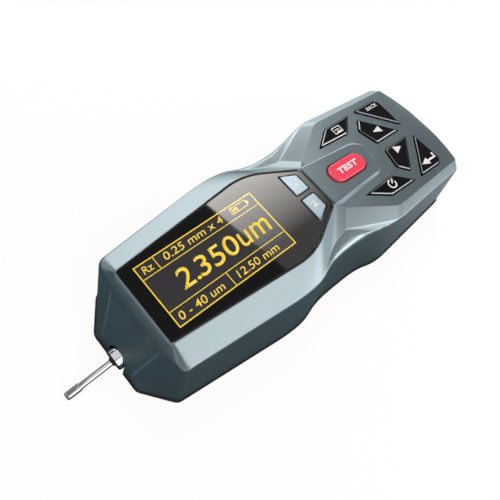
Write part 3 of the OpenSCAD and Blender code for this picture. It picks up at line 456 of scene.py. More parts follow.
edge_drop = edge_h - face_h
edge_line = [nose_at(edge_h)]
edge_line += points(edge_h, (11.8, 24.2), (66.2, 29.6)) + points(edge_h - 0.2, (80.0, 24.5), (94.5, 24.5))
edge_line += points(face_z(108.8) + edge_drop, (111.2, 28.3))
edge_line += tail_edge(158, 26, 3.96, face_z(158.5 - 3.6) + edge_drop + 0.3)
band_line = inset(edge_line, 0.36, 0.9)
edge_line[0], band_line[0] = nose_at(26.0), nose_at(30.0) - Vector((0.8, 0, 0))
band_line[3:5] = points(band_h - 0.4, (82.8, 20.35)) + points(band_h + 0.1, (90.4, 18.75))
share = (rim_h - joint_h) / (edge_h - joint_h)
rim_line = [low.lerp(high, share) for low, high in zip(base_line, edge_line)]
for p in rim_line:
    p.z = rim_h
rim_line[0] = points(rim_h, nose_foot)[0]

plan_round = [1.2, 1.6, 12, 9, 7, 6, 1.8, 4, 4]
edge_round = [1.2, 3, 12, 9, 7, 6, 1.8, 4, 4]
band_round = [0.8, 4, 12, 6, 0.8, 3, 1.4, 4, 4]
top_round = [0.6, 0.6, 8, 1.4, 0.8, 1.6, 1, 4, 4]
plan_steps, edge_in = 10, 0.7
top_half = soften(top_line, top_round, plan_steps)
profile = [(p.x, p.z) for p in top_half]


def top_z(x):
    """Height of the housing's top face at a place along it."""
    for (x0, z0), (x1, z1) in zip(profile, profile[1:]):
        if x <= x1:
            return z0 if x <= x0 else z0 + (z1 - z0) * (x - x0) / (x1 - x0)
    return profile[-1][1]


cap_half = inset(top_half, edge_in)
for p in cap_half:
    p.z = top_z(p.x)
levels = [soften(base_line, plan_round, plan_steps), soften(rim_line, plan_round, plan_steps),
          soften(edge_line, edge_round, plan_steps), soften(band_line, band_round, plan_steps),
          top_half, cap_half]
rim_over, lip_over = [2.0, 2.0], [0.5, 0.4, 0.1, 0.1, 0.1, 0.1, 0.1, 0.1, 0.1]
band_over = [2.4, 1.0, 0.4, 0.4, 0.4, 0.4, 0.4, 0.4, 0.4]
waist_over = [0.3, 0.3, 0.3, 2.4, 2.4, 0.5, 0.3, 0.3, 0.3]
nose_over = [2.4, 1.5, 0.1, 0.1, 0.1, 0.1, 0.1, 0.1, 0.1]
housing_rings = [mirrored(ring) for ring in round_over(levels, (
    (rim_over, rim_over), (waist_over, waist_over), (band_over, band_over), (nose_over, lip_over)))]
housing = link("housing_shell", stacked("housing_shell", housing_rings, strips=True))


def change(piece, tool_mesh, operation="DIFFERENCE"):
    """Cuts a tool's shape from a piece, or joins it on."""
    tool = link("tool", tool_mesh)
    step = piece.modifiers.new("step", "BOOLEAN")
    step.operation, step.solver, step.object = operation, "EXACT", tool
    graph = bpy.context.evaluated_depsgraph_get()
    changed = bpy.data.meshes.new_from_object(piece.evaluated_get(graph))
    piece.modifiers.clear()
    piece.data = changed
    bpy.data.objects.remove(tool)


def prism(outline, low, high, place=Matrix()):
    rings = [[Vector((x, y, z)) for x, y in outline] for z in (low, high)]
    return stacked("prism", [[place @ p for p in ring] for ring in rings])


def circle(x, y, r, n=32):
    return [(x + r * math.cos(2 * math.pi * i / n), y + r * math.sin(2 * math.pi * i / n)) for i in range(n)]


def grow(outline, d):
    """Closed outline, points anticlockwise, grown by d."""
    grown, n = [], len(outline)
    for k in range(n):
        a, p, c = (Vector(outline[(k + step) % n]) for step in (-1, 0, 1))
        way_in, way_out = (p - a).normalized(), (c - p).normalized()
        n1, n2 = Vector((way_in.y, -way_in.x)), Vector((way_out.y, -way_out.x))
        grown.append(tuple(p + (n1 + n2) / (1 + n1.dot(n2)) * d))
    return grown


def rounded(outline, s, steps=6):
    turned, n = [], len(outline)
    for k in range(n):
        a, p, c = (Vector(outline[(k + step) % n]) for step in (-1, 0, 1))
        turned += [tuple(q) for q in bend(a, p, c, s, steps)]
    return turned


def pill(length, width, x=0.0, steps=20):
    reach, r = (length - width) / 2, width / 2
    arc = [math.pi * i / steps for i in range(steps + 1)]
    right = [(x + reach + r * math.sin(a), -r * math.cos(a)) for a in arc]
    return right + [(2 * x - px, -py) for px, py in right]


# Tongue of the housing between the window and the keys, moulded in one with the face.
# Its flanks run out into the keypad face and its round end stands a step above it.
tongue_d, tongue_l, tongue_step = 92.6, 31.5, 0.9
flank_out, crown_in, skew = 1.8, 1.2, 0.1
tongue_fall = (body_h - face_z(tongue_d + tongue_l) - tongue_step) / tongue_l
tongue_plan = [(92.0, 9.8), (120.25, 7.7), (124.1, 3.85)]


def tongue_z(d):
    return body_h - (d - tongue_d) * tongue_fall


def tongue_level(spread, height):
    """Tongue's half outline, spread outwards; its front goes in a little so that no face there is flat."""
    front_in = max(0, -spread) * skew
    return [Vector((nose + d + (spread if d > tongue_d else front_in), y + spread, height(d)))
            for d, y in tongue_plan]


tongue_levels = [soften(line, (0.01, 2.6, 5), 8) for line in (
    tongue_level(flank_out, lambda d: face_z(d) - 1), tongue_level(0, tongue_z),
    tongue_level(-crown_in, tongue_z))]
tongue_rings = [mirrored(ring) for ring in round_over(tongue_levels, (((0.5, 0.5), (0.7, 0.7)),), 6)]
change(housing, stacked("tongue", tongue_rings, strips=True), "UNION")

hollow_round = soften(inset(base_line, wall, -1), plan_round, 4, 2)
hollow_line = inset(top_line, wall / 2)
for k, p in enumerate(hollow_line):
    p.x += wall if k == 0 else 0
    p.z = ceiling_h if k < 4 else top_line[k].z - wall
hollow_levels = [hollow_round, soften(inset(rim_line, wall), plan_round, 4, 2),
                 soften(inset(edge_line, wall, -wall / 2), plan_round, 4, 2),
                 soften(hollow_line, top_round, 4, 2)]
change(housing, stacked("hollow", [mirrored(ring) for ring in hollow_levels], strips=True))

# Openings of the housing: the window's recess and the display's cut-out in its floor, the keyholes,
# the passage for the pickup under the nose and the slot of the data socket.
face_place = Matrix.Translation((nose + face_x, 0, face_h)) @ Matrix.Rotation(face_slope, 4, "Y")
side_key = [(12.2, 13.5), (27.2, 12.8), (33.6, 19.2), (20.2, 19)]
corner_key = [(39, 19.4), (52, 4.3), (52.4, 17.6), (50.4, 19.6)]
arrow_key = [(34.8, 2.4), (47.8, 2.4), (36.4, 15.1), (32.6, 10.8)]
soft_key = [(nose + 82.6, 1.3), (nose + 88.5, 1.3), (nose + 88.5, 8.2), (nose + 82.6, 11.2)]
start_d, start_l, start_w = 108.8, 19.0, 8.4
start_u = start_d - face_x
key_gap, key_corner, lens_gap, over = 0.55, 0.9, 0.2, 1
flip = Matrix.Scale(-1, 4, (0, 1, 0))
both_sides = (Matrix(), flip)


def lens_outline(d):
    return [tuple(p.xy) for p in reversed(mirrored(soften(inset(lens_line, -d), (1.6, 8, 1.6), 10, 1)))]


change(housing, prism(lens_outline(lens_gap), deck_h, body_h + over))
panel_x, panel_half_l, panel_half_w = nose + 44.7, 26.9, 12.5
panel_hole = [(panel_x + panel_half_l * x, panel_half_w * y) for x, y in ((-1, -1), (1, -1), (1, 1), (-1, 1))]
change(housing, prism(panel_hole, ceiling_h - over, deck_h + over))
for side in both_sides:
    keyhole = rounded(grow(soft_key, key_gap), key_corner)
    change(housing, prism(keyhole, ceiling_h - over, deck_h + over, side))
    for outline in (side_key, corner_key, arrow_key):
        keyhole = rounded(grow(outline, key_gap), key_corner)
        change(housing, prism(keyhole, -wall - over, over, face_place @ side))
change(housing, prism(pill(start_l + 2 * key_gap, start_w + 2 * key_gap, start_u), -5, 4, face_place))

pivot = Vector((nose + 25.2, 0, 7.6))
tunnel_r, droop = 4.7, math.radians(7.4)
collar_s, nod, tunnel_l = 23.9, math.radians(3), 12
tunnel_low = pivot.z - collar_s * math.tan(droop)
tunnel_high = tunnel_low + collar_s * math.tan(nod)
arch = [(over, -tunnel_r), (over, tunnel_r)]
arch += [(-tunnel_high - tunnel_r * math.sin(a), tunnel_r * math.cos(a))
         for a in (math.pi * i / 24 for i in range(25))]
along_nose = Matrix.Translation((nose - over, 0, 0)) @ Matrix.Rotation(math.pi / 2, 4, "Y")
change(housing, prism(arch, 0, tunnel_l, along_nose))
usb_low, usb_high = (Vector(end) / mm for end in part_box("usb_socket"))
usb_room, usb_in, usb_out = 0.5, 4, 8
change(housing, prism([
    (usb_low.x - usb_room, usb_high.y - usb_in), (usb_high.x + usb_room, usb_high.y - usb_in),
    (usb_high.x + usb_room, usb_high.y + usb_out), (usb_low.x - usb_room, usb_high.y + usb_out)],
    usb_low.z - usb_room, usb_high.z + usb_room))


def smooth(mesh, degrees=28.0):
    for face in mesh.polygons:
        face.use_smooth = True
    mesh.set_sharp_from_angle(angle=math.radians(degrees))


def tidy_mesh(piece, degrees=28.0):
    form = bmesh.new()
    form.from_mesh(piece.data)
    bmesh.ops.remove_doubles(form, verts=form.verts, dist=0.001 * mm)
    bmesh.ops.dissolve_degenerate(form, dist=0.0005 * mm, edges=form.edges)
    form.to_mesh(piece.data)
    form.free()
    smooth(piece.data, degrees)
    even = piece.modifiers.new("even_shading", "WEIGHTED_NORMAL")
    even.keep_sharp = True


# Paint of the housing: satin metallic grey with fine flakes, sprayed on, with painted highlights as lighter
# lines along three edges. The lip and the recess walls round the window are black, a painted shade for the
# gap between the housing and the window.
tidy_mesh(housing)
VECTOR = "NodeSocketVector"
# Group that lightens the colour near a line from Start to End: a painted highlight along an edge.
painted_highlight_group, given, made = new_group(
    "edge_line",
    [("Color", COLOR, (0.5, 0.5, 0.5, 1)), ("Lift", FLOAT, 0.5), ("Width", FLOAT, 0.001),
     ("Start", VECTOR, (0, 0, 0)), ("End", VECTOR, (1, 0, 0))],
    [("Color", COLOR)])
place = node(painted_highlight_group, "ShaderNodeTexCoord")
axes = node(painted_highlight_group, "ShaderNodeSeparateXYZ", {0: place.outputs["Object"]})
out_y = node(painted_highlight_group, "ShaderNodeMath", {0: axes.outputs["Y"]}, operation="ABSOLUTE")
spot = node(painted_highlight_group, "ShaderNodeCombineXYZ", {
    "X": axes.outputs["X"], "Y": out_y.outputs[0], "Z": axes.outputs["Z"]})
run = node(painted_highlight_group, "ShaderNodeVectorMath", {
    0: given.outputs["End"], 1: given.outputs["Start"]}, operation="SUBTRACT")
off = node(painted_highlight_group, "ShaderNodeVectorMath", {
    0: spot.outputs[0], 1: given.outputs["Start"]}, operation="SUBTRACT")
on_run = node(painted_highlight_group, "ShaderNodeVectorMath", {
    0: off.outputs[0], 1: run.outputs[0]}, operation="DOT_PRODUCT")
run_run = node(painted_highlight_group, "ShaderNodeVectorMath", {
    0: run.outputs[0], 1: run.outputs[0]}, operation="DOT_PRODUCT")
along = node(painted_highlight_group, "ShaderNodeMath", {
    0: on_run.outputs["Value"], 1: run_run.outputs["Value"]}, operation="DIVIDE", use_clamp=True)
foot = node(painted_highlight_group, "ShaderNodeVectorMath", {
    0: run.outputs[0], "Scale": along.outputs[0]}, operation="SCALE")
gap = node(painted_highlight_group, "ShaderNodeVectorMath", {
    0: off.outputs[0], 1: foot.outputs[0]}, operation="DISTANCE")
near = node(painted_highlight_group, "ShaderNodeMath", {
    0: gap.outputs["Value"], 1: given.outputs["Width"]}, operation="DIVIDE")
line = node(painted_highlight_group, "ShaderNodeMapRange", {
    "Value": near.outputs[0], "From Min": 0.4, "From Max": 1.0, "To Min": 1.0, "To Max": 0.0})
lift = node(painted_highlight_group, "ShaderNodeMath", {
    0: line.outputs["Result"], 1: given.outputs["Lift"], 2: 1.0}, operation="MULTIPLY_ADD")
highlit_color = node(painted_highlight_group, "ShaderNodeVectorMath", {
    0: given.outputs["Color"], "Scale": lift.outputs[0]}, operation="SCALE")
painted_highlight_group.links.new(highlit_color.outputs["Vector"], made.inputs["Color"])
paint = bpy.data.materials.new("metallic_paint")
paint.use_nodes = True
tree = paint.node_tree
shader = tree.nodes["Principled BSDF"]
base = node(tree, "ShaderNodeGroup", node_tree=grain_group)
for label, value in {"Color": (0.33, 0.425, 0.47, 1), "Shade": 0.05, "Roughness": 0.32, "Spread": 0.06,
                     "Grains per Metre": 2600.0}.items():
    base.inputs[label].default_value = value
place = node(tree, "ShaderNodeTexCoord")
flake = node(tree, "ShaderNodeTexVoronoi", {"Vector": place.outputs["Object"], "Scale": 9000.0})
glint = node(tree, "ShaderNodeMapRange", {"Value": flake.outputs["Color"], "To Min": 0.94, "To Max": 1.06})
flaked = node(tree, "ShaderNodeVectorMath", {
    0: base.outputs["Color"], "Scale": glint.outputs["Result"]}, operation="SCALE")
relief = node(tree, "ShaderNodeBump", {
    "Height": base.outputs["Height"], "Strength": 0.12, "Distance": 0.02 * mm})
coat = flaked.outputs["Vector"]
in_edge = Vector((0, -0.5, -0.5))
# Painted highlights: lighter lines along the nose's crease, a band edge at the waist and the waist's top
# edge.
painted_highlight_edges = ((rim_line[0], nose_at(31.0), 0.7, 0.6), (band_line[4], band_line[5], 0.5, 0.5),
              (edge_line[3] + in_edge, edge_line[4] + in_edge, 0.35, 1.3))
for start, end, highlight_gain, width in painted_highlight_edges:
    highlight_node = node(tree, "ShaderNodeGroup", node_tree=painted_highlight_group)
    highlight_node.inputs["Lift"].default_value, highlight_node.inputs["Width"].default_value = highlight_gain, width * mm
    highlight_node.inputs["Start"].default_value, highlight_node.inputs["End"].default_value = start * mm, end * mm
    tree.links.new(coat, highlight_node.inputs["Color"])
    coat = highlight_node.outputs["Color"]
tree.links.new(coat, shader.inputs["Base Color"])
tree.links.new(base.outputs["Roughness"], shader.inputs["Roughness"])
tree.links.new(relief.outputs["Normal"], shader.inputs["Normal"])
shader.inputs["Metallic"].default_value = 0.93
housing.data.materials.clear()
housing.data.materials.append(paint)
# Painted shade: the flat lip and the recess walls round the window take a black material, standing in for the
# dark gap there.
housing.data.materials.append(moulded("window_gap_shade", (0.010, 0.010, 0.011), 0.2, 0.5, 0.1, 4000, 0.1))
gap_shade_x, gap_shade_y, near_enough = nose + 92.5, 21.5, 0.01
for face in housing.data.polygons:
    corners = [housing.data.vertices[k].co / mm for k in face.vertices]
    by_window = max(p.x for p in corners) < gap_shade_x and max(abs(p.y) for p in corners) < gap_shade_y
    level = min(p.z for p in corners) > body_h - near_enough
    upright = min(p.z for p in corners) > deck_h - near_enough and abs(face.normal.z) < 0.1
    if by_window and (level or upright):
        face.material_index = 1
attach(housing, "housing")
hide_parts("upper_housing")

# Window: a polished black acrylic plate dropped into the housing's recess and glued.
# The display shows through it as a dull dark field inside the yellow frame.
lens_outer = lens_outline(0)
edge_r = 0.3
lens_rings = [[Vector((x, y, z)) for x, y in (grow(lens_outer, -d) if d else lens_outer)]
              for d, z in [(0, deck_h)] + [
                  (edge_r * (1 - math.cos(a)), body_h - edge_r * (1 - math.sin(a)))
                  for a in (math.pi / 2 * i / 4 for i in range(5))]]
window = link("window_plate", stacked("window_plate", lens_rings))
for side in both_sides:
    keyhole = rounded(grow(soft_key, key_gap), key_corner)
    change(window, prism(keyhole, deck_h - over, body_h + over, side))
tidy_mesh(window, 40)
frame_x0, frame_x1, frame_y = -60.6, -10.0, 12.8
black_level, field_level = 0.003, 0.040
acrylic = bpy.data.materials.new("polished_acrylic")
acrylic.use_nodes = True
tree = acrylic.node_tree
shader = tree.nodes["Principled BSDF"]
base = node(tree, "ShaderNodeGroup", node_tree=grain_group)
for label, value in {"Color": (0.97, 0.93, 1.0, 1), "Shade": 0.2, "Roughness": 0.035, "Spread": 0.03,
                     "Grains per Metre": 300.0}.items():
    base.inputs[label].default_value = value
place = node(tree, "ShaderNodeTexCoord")
axes = node(tree, "ShaderNodeSeparateXYZ", {0: place.outputs["Object"]})
mid_x, half_x = (frame_x0 + frame_x1) / 2 * mm, (frame_x1 - frame_x0) / 2 * mm
off_x = node(tree, "ShaderNodeMath", {0: axes.outputs["X"], 1: mid_x}, operation="SUBTRACT")
out_x = node(tree, "ShaderNodeMath", {0: off_x.outputs[0]}, operation="ABSOLUTE")
out_y = node(tree, "ShaderNodeMath", {0: axes.outputs["Y"]}, operation="ABSOLUTE")
in_x = node(tree, "ShaderNodeMath", {0: out_x.outputs[0], 1: half_x}, operation="LESS_THAN")
in_y = node(tree, "ShaderNodeMath", {0: out_y.outputs[0], 1: frame_y * mm}, operation="LESS_THAN")
field = node(tree, "ShaderNodeMath", {0: in_x.outputs[0], 1: in_y.outputs[0]}, operation="MULTIPLY")
depth = node(tree, "ShaderNodeMapRange", {
    "Value": field.outputs[0], "To Min": black_level, "To Max": field_level})
dark = node(tree, "ShaderNodeVectorMath", {0: base.outputs["Color"], "Scale": depth.outputs["Result"]},
            operation="SCALE")
tree.links.new(dark.outputs["Vector"], shader.inputs["Base Color"])
tree.links.new(base.outputs["Roughness"], shader.inputs["Roughness"])
window.data.materials.clear()
window.data.materials.append(acrylic)
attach(window, "housing")
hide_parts("display_lens")

# Display print: a yellow frame, rules, made-up readings and a battery sign that the display shows,
# each a thin film on the window's face.
film = 0.02


def film_prism(form, outline, low, place=Matrix()):
    verts = [[form.verts.new((place @ Vector((x, y, z))) * mm) for x, y in outline]
             for z in (low, low + film)]
    n = len(outline)
    form.faces.new(verts[0])
    form.faces.new(verts[1])
    for j in range(n):
        form.faces.new((verts[0][j], verts[0][(j + 1) % n], verts[1][(j + 1) % n], verts[1][j]))


def bar(x0, y0, x1, y1):
    return [(x0, y0), (x1, y0), (x1, y1), (x0, y1)]


def frame_bars(x0, y0, x1, y1, w):
    return [bar(x0, y0, x1, y0 + w), bar(x0, y1 - w, x1, y1),
            bar(x0, y0 + w, x0 + w, y1 - w), bar(x1 - w, y0 + w, x1, y1 - w)]


def letter_film(form, words, x0, x1, y0, y1, low, bold=0.0, shear=0.0, place=Matrix()):
    """Words as a film that fills the box from x0, y0 to x1, y1."""
    text = bpy.data.curves.new("words", "FONT")
    text.body, text.offset, text.shear = words, bold, shear
    text.resolution_u = 6
    holder = link("words", text)
    graph = bpy.context.evaluated_depsgraph_get()
    shapes = bpy.data.meshes.new_from_object(holder.evaluated_get(graph))
    bpy.data.objects.remove(holder)
    xs, ys = [v.co.x for v in shapes.vertices], [v.co.y for v in shapes.vertices]
    left, wide, foot, tall = min(xs), max(xs) - min(xs), min(ys), max(ys) - min(ys)
    flat = bmesh.new()
    flat.from_mesh(shapes)
    bmesh.ops.remove_doubles(flat, verts=flat.verts, dist=1e-3)
    bmesh.ops.dissolve_degenerate(flat, dist=1e-4, edges=flat.edges)
    for v in flat.verts:
        x = x0 + (v.co.x - left) / wide * (x1 - x0)
        y = y0 + (v.co.y - foot) / tall * (y1 - y0)
        v.co = (place @ Vector((x, y, low))) * mm
    lift = (place.to_3x3() @ Vector((0, 0, film))) * mm
    raised = bmesh.ops.extrude_face_region(flat, geom=flat.faces[:])
    top = [part for part in raised["geom"] if isinstance(part, bmesh.types.BMVert)]
    bmesh.ops.translate(flat, vec=lift, verts=top)
    bmesh.ops.recalc_face_normals(flat, faces=flat.faces)
    shapes.clear_geometry()
    flat.to_mesh(shapes)
    flat.free()
    form.from_mesh(shapes)
    bpy.data.meshes.remove(shapes)


def film_piece(name, form, material, body):
    bmesh.ops.recalc_face_normals(form, faces=form.faces)
    mesh = bpy.data.meshes.new(name)
    form.to_mesh(mesh)
    form.free()
    mesh.materials.append(material)
    piece = link(name, mesh)
    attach(piece, body)


row_top, row_low, rule = 7.2, -6.7, 0.3
print_form = bmesh.new()
rules = frame_bars(frame_x0, -frame_y, frame_x1, frame_y, 0.42)
rules += [bar(frame_x0, y - rule / 2, frame_x1, y + rule / 2) for y in (row_top, row_low)]
rules += [bar(-53.2, row_top, -53.2 + rule, frame_y), bar(-37.2, -frame_y, -37.2 + rule, row_low)]
rules += frame_bars(-20.8, 8.9, -13.6, 11.7, 0.3) + [bar(-13.6, 9.7, -12.9, 10.9)]
rules += [bar(-20.1 + 0.9 * i, 9.5, -19.6 + 0.9 * i, 11.1) for i in range(3)]
for outline in rules:
    film_prism(print_form, outline, body_h)
light, heavy, slant = 0.004, 0.006, 0.12
readings = (
    ("Rz", -58.6, -54.6, 8.6, 11.4, light, slant),
    ("0.25 mm x 4", -50.0, -25.0, 8.6, 11.6, light, slant),
    ("2", -51.6, -46.4, -3.6, 3.9, heavy, slant),
    (".", -45.7, -44.2, -3.5, -2.2, 0, 0),
    ("350", -44.0, -26.5, -3.6, 3.9, heavy, slant),
    ("um", -25.7, -12.5, -3.5, 2.3, heavy, slant),
    ("0 - 40 um", -58.6, -40.4, -11.2, -8.2, light, slant),
    ("12.50 mm", -34.4, -16.2, -11.2, -8.2, light, slant),
)
for words, x0, x1, y0, y1, weight, shear in readings:
    letter_film(print_form, words, x0, x1, y0, y1, body_h, weight, shear)
yellow = moulded("display_yellow", (0.95, 0.68, 0.05), 0.1, 0.05, 0.03, 300, 0.0)
glow = yellow.node_tree.nodes["Principled BSDF"]
glow.inputs["Emission Color"].default_value = (1.0, 0.72, 0.06, 1)
glow.inputs["Emission Strength"].default_value = 0.12
film_piece("display_print", print_form, yellow, "housing")


# Black keys: moulded caps with a flange behind the face and a stem over the switch.
# Satin black with the chamfers round their tops painted light metallic grey as a painted highlight, the
# symbols printed in white.
def key_rings(outline, middle, top, seat, stem, edge, tilt=0.0, flange=1.0, turns=4, stem_r=1.5):
    """Rings of a key from the foot of its stem to its rounded-over or, in one turn, chamfered top."""
    n = len(outline)
    turn = math.atan2(outline[0][1] - middle[1], outline[0][0] - middle[0])
    foot = [(middle[0] + stem_r * math.cos(turn + 2 * math.pi * i / n),
             middle[1] + stem_r * math.sin(turn + 2 * math.pi * i / n)) for i in range(n)]
    wide = grow(outline, flange)
    low = -seat - flange
    rings = [[Vector((x, y, z)) for x, y in ring] for ring, z in (
        (foot, low - stem), (foot, low), (wide, low), (wide, -seat), (outline, -seat))]
    for step in (i / turns for i in range(turns + 1)):
        a = math.pi / 2 * step
        ring = grow(outline, -edge * (1 - math.cos(a))) if a else outline
        z = top - edge * (1 - math.sin(a))
        rings.append([Vector((x, y, z - (x - middle[0]) * tilt)) for x, y in ring])
    return rings


def key_piece(name, rings, place, material, highlight_edging=None):
    piece = link(name + "_cap", stacked(name + "_cap", [[place @ p for p in ring] for ring in rings]))
    smooth(piece.data, 40)
    even = piece.modifiers.new("even_shading", "WEIGHTED_NORMAL")
    even.keep_sharp = True
    piece.data.materials.append(material)
    # The chamfer ring takes the second material, a painted highlight.
    if highlight_edging:
        piece.data.materials.append(highlight_edging)
        n = len(rings[0])
        for face in piece.data.polygons[(len(rings) - 2) * n:(len(rings) - 1) * n]:
            face.material_index = 1
    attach(piece, name)
    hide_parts(name)


def middle(outline):
    return tuple(sum(p[i] for p in outline) / len(outline) for i in (0, 1))


proud, seat, stem_l, key_edge = 0.8, 2.25, 2.4, 0.36
satin_black = moulded(
    "satin_black", (0.004, 0.0045, 0.005), 0.3, 0.18, 0.08, 3000, 0.04, Specular_IOR_Level=0.35)
# Light metallic grey for the key chamfers: a painted highlight.
painted_highlight_edge = moulded("painted_highlight_edge", (0.34, 0.35, 0.37), 0.1, 0.25, 0.08, 3000, 0.04, metallic=0.9)
for names, outline in ((("key_save", "key_power"), side_key), (("key_esc", "key_enter"), corner_key),
                       (("key_up", "key_down"), arrow_key)):
    for name, side in zip(names, both_sides):
        rings = key_rings(
            rounded(outline, key_corner), middle(outline), proud, seat, stem_l, key_edge, turns=1)
        key_piece(name, rings, face_place @ side, satin_black, painted_highlight_edge)

white_ink = moulded("white_ink", (0.86, 0.87, 0.88), 0.06, 0.4, 0.1, 4000, 0.05)


def arc(x, y, r, w, a0, a1, n=24):
    angles = [a0 + (a1 - a0) * i / n for i in range(n + 1)]
    outer = [(x + (r + w / 2) * math.cos(a), y + (r + w / 2) * math.sin(a)) for a in angles]
    inner = [(x + (r - w / 2) * math.cos(a), y + (r - w / 2) * math.sin(a)) for a in angles]
    return outer + inner[::-1]


def stick(x0, y0, x1, y1, w):
    along = Vector((x1 - x0, y1 - y0)).normalized() * w / 2
    return [(x0 + along.y, y0 - along.x), (x1 + along.y, y1 - along.x),
            (x1 - along.y, y1 + along.x), (x0 - along.y, y0 + along.x)]


save_sign = frame_bars(21.9, 14.5, 26.5, 17.9, 0.42)
save_sign += [bar(22.9, 16.2, 25.4, 16.6), bar(23.4, 14.9, 25.6, 15.6)]
power_x, power_y, up = 23.7, -15.6, math.atan2(1.75, 1.45)
power_r, power_w, power_open = 1.75, 0.62, 0.62
power_sign = [arc(power_x, power_y, power_r, power_w, up + power_open, up + 2 * math.pi - power_open),
              stick(power_x + 0.2 * math.cos(up), power_y + 0.2 * math.sin(up),
                    power_x + 2.5 * math.cos(up), power_y + 2.5 * math.sin(up), power_w)]
enter_sign = [[(42.6, -16.3), (46.6, -18.0), (46.6, -14.6)], bar(46.6, -16.75, 51.4, -15.85),
              bar(50.5, -15.85, 51.4, -14.2)]
signs = {
    "key_save": save_sign,
    "key_power": power_sign,
    "key_enter": enter_sign,
    "key_up": [[(37.0, 7.1), (41.4, 5.1), (41.3, 8.4)]],
    "key_down": [[(38.1, -2.9), (37.9, -6.5), (42.0, -4.6)]],
}
for name, outlines in signs.items():
    form = bmesh.new()
    for outline in outlines:
        film_prism(form, outline, proud, face_place)
    film_piece(name + "_sign", form, white_ink, name)
form = bmesh.new()
letter_film(form, "BACK", 43.9, 50.6, 16.4, 18.2, proud, 0.02, 0.15, face_place)
film_piece("key_esc_sign", form, white_ink, "key_esc")

# Start key: a long red cap on the tongue, its top cut level with the tongue and well rounded,
# with white lettering.
start_rise = tongue_z(start_d) - face_z(start_d) + proud
start_tilt = tongue_fall - face_tan
start_seat = seat + tongue_z(start_d - start_l / 2) - face_z(start_d - start_l / 2)
start_stem = seat + stem_l - start_seat
start_edge = 0.8
signal_red = moulded("signal_red", (0.95, 0.065, 0.13), 0.12, 0.22, 0.1, 3000, 0.06, Specular_IOR_Level=0.9)
rings = key_rings(
    pill(start_l, start_w, start_u), (start_u, 0), start_rise, start_seat, start_stem, start_edge, start_tilt)
key_piece("key_start", rings, face_place, signal_red)
start_top = face_place @ Matrix.Translation((start_u, 0, start_rise))
start_top = start_top @ Matrix.Rotation(math.atan(start_tilt), 4, "Y")
form = bmesh.new()
letter_film(form, "TEST", -5.3, 5.7, -1.35, 1.35, 0.0, 0.035, 0.15, start_top)
film_piece("key_start_sign", form, white_ink, "key_start")

# Soft keys: two silver-painted caps that come up through the window.
# Their small signs are printed in pale grey.
soft_proud, soft_seat, soft_stem, soft_edge, soft_corner = proud / 2, 3.85, 1.65, 0.25, 0.5
silver_paint = moulded("silver_paint", (0.36, 0.46, 0.53), 0.1, 0.32, 0.1, 4000, 0.08, metallic=0.35)
for name, side in zip(("key_soft_left", "key_soft_right"), both_sides):
    rings = key_rings(
        rounded(soft_key, soft_corner), middle(soft_key), soft_proud, soft_seat, soft_stem, soft_edge)
    key_piece(name, rings, Matrix.Translation((0, 0, body_h)) @ side, silver_paint)
pale_ink = moulded("pale_ink", (0.75, 0.80, 0.86), 0.06, 0.4, 0.1, 4000, 0.05)
soft_signs = {
    "key_soft_left": [[(5.2, 4.2), (7.6, 4.2), (6.4, 6.2)], bar(5.2, 6.5, 7.6, 6.9)],
    "key_soft_right": [[(5.2, -6.4), (6.4, -4.6), (7.6, -6.4)], bar(5.2, -4.4, 7.6, -4.0)],
}
for name, outlines in soft_signs.items():
    form = bmesh.new()
    for outline in outlines:
        film_prism(form, outline, body_h + soft_proud)
    film_piece(name + "_sign", form, pale_ink, name)


# Pickup: a collar on a stem, a slim tube and a skid head, turned from steel and chromium plated.
# A black moulded washer closes the collar's front. The pickup swings on a pin in the carriage.
def turned(name, profile, place, n=64):
    """A lathe-turned piece: pairs of distance from the pivot and radius."""
    rings = [[place @ Vector((-s, r * math.cos(2 * math.pi * i / n), r * math.sin(2 * math.pi * i / n)))
              for i in range(n)] for s, r in profile]
    return stacked(name, rings)


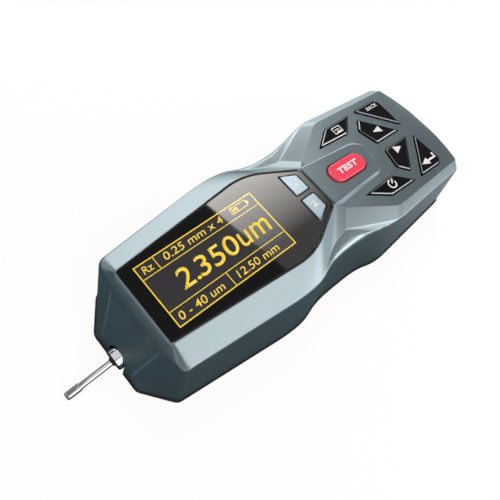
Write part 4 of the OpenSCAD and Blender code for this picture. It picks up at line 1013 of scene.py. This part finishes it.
pickup_place = Matrix.Translation(pivot) @ Matrix.Rotation(-droop, 4, "Y")
collar_back, collar_front, collar_r, tube_r, tube_end = 22.2, 25.6, 4.2, 1.2, 40.0
stem_back, pickup_stem_r, tube_in = 3.4, 2.0, 2
collar = link("collar", turned("collar", [
    (stem_back, pickup_stem_r), (collar_back, pickup_stem_r), (collar_back, collar_r - 0.3),
    (collar_back + 0.1, collar_r - 0.1), (collar_back + 0.3, collar_r), (collar_front - 0.2, collar_r),
    (collar_front - 0.05, collar_r - 0.06), (collar_front, collar_r - 0.2), (collar_front, tube_r),
    (collar_front - tube_in, tube_r)], pickup_place))
tube = link("tube", turned("tube", [(collar_front - tube_in, tube_r), (tube_end, tube_r)], pickup_place))
head_r, head_end = 1.55, 45.7
head = link("head", turned("head", [
    (tube_end, tube_r), (tube_end, head_r - 0.15), (tube_end + 0.08, head_r - 0.04), (tube_end + 0.2, head_r),
    (head_end - 1.2, head_r), (head_end - 1.15, head_r - 0.14), (head_end - 0.95, head_r - 0.14),
    (head_end - 0.9, head_r), (head_end - 0.4, head_r - 0.03), (head_end - 0.15, head_r - 0.2),
    (head_end, head_r - 0.5)], pickup_place))
stylus_s, stylus_hole_r, stylus_hole_l = head_end - 2.2, 0.65, 2.8
change(head, prism(circle(-stylus_s, 0, stylus_hole_r), -stylus_hole_l, 0, pickup_place))
chrome = machined("chrome", (0.84, 0.84, 0.85), 0.05, 0.07, 0.05, 5000, 0.05, 0.03)
for piece, replaced in ((collar, "pickup_collar"), (tube, "pickup_tube"), (head, "skid_head")):
    tidy_mesh(piece, 35)
    piece.data.materials.clear()
    piece.data.materials.append(chrome)
    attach(piece, "pickup")
    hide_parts(replaced)
washer = link("collar_washer", turned("collar_washer", [
    (collar_front, tube_r), (collar_front, collar_r - 0.2), (collar_front + 0.1, collar_r - 0.12),
    (collar_front + 0.6, collar_r - 0.3), (collar_front + 0.7, collar_r - 0.55), (collar_front + 0.7, 1.75),
    (collar_front + 1.3, 1.7), (collar_front + 1.4, 1.55), (collar_front + 1.4, tube_r)], pickup_place))
tidy_mesh(washer, 35)
washer.data.materials.append(moulded("washer_black", (0.006, 0.006, 0.007), 0.3, 0.4, 0.1, 5000, 0.1))
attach(washer, "pickup")
dress(moulded("diamond_tip", (0.05, 0.05, 0.055), 0.2, 0.12, 0.05, 6000, 0.1), "stylus_tip")
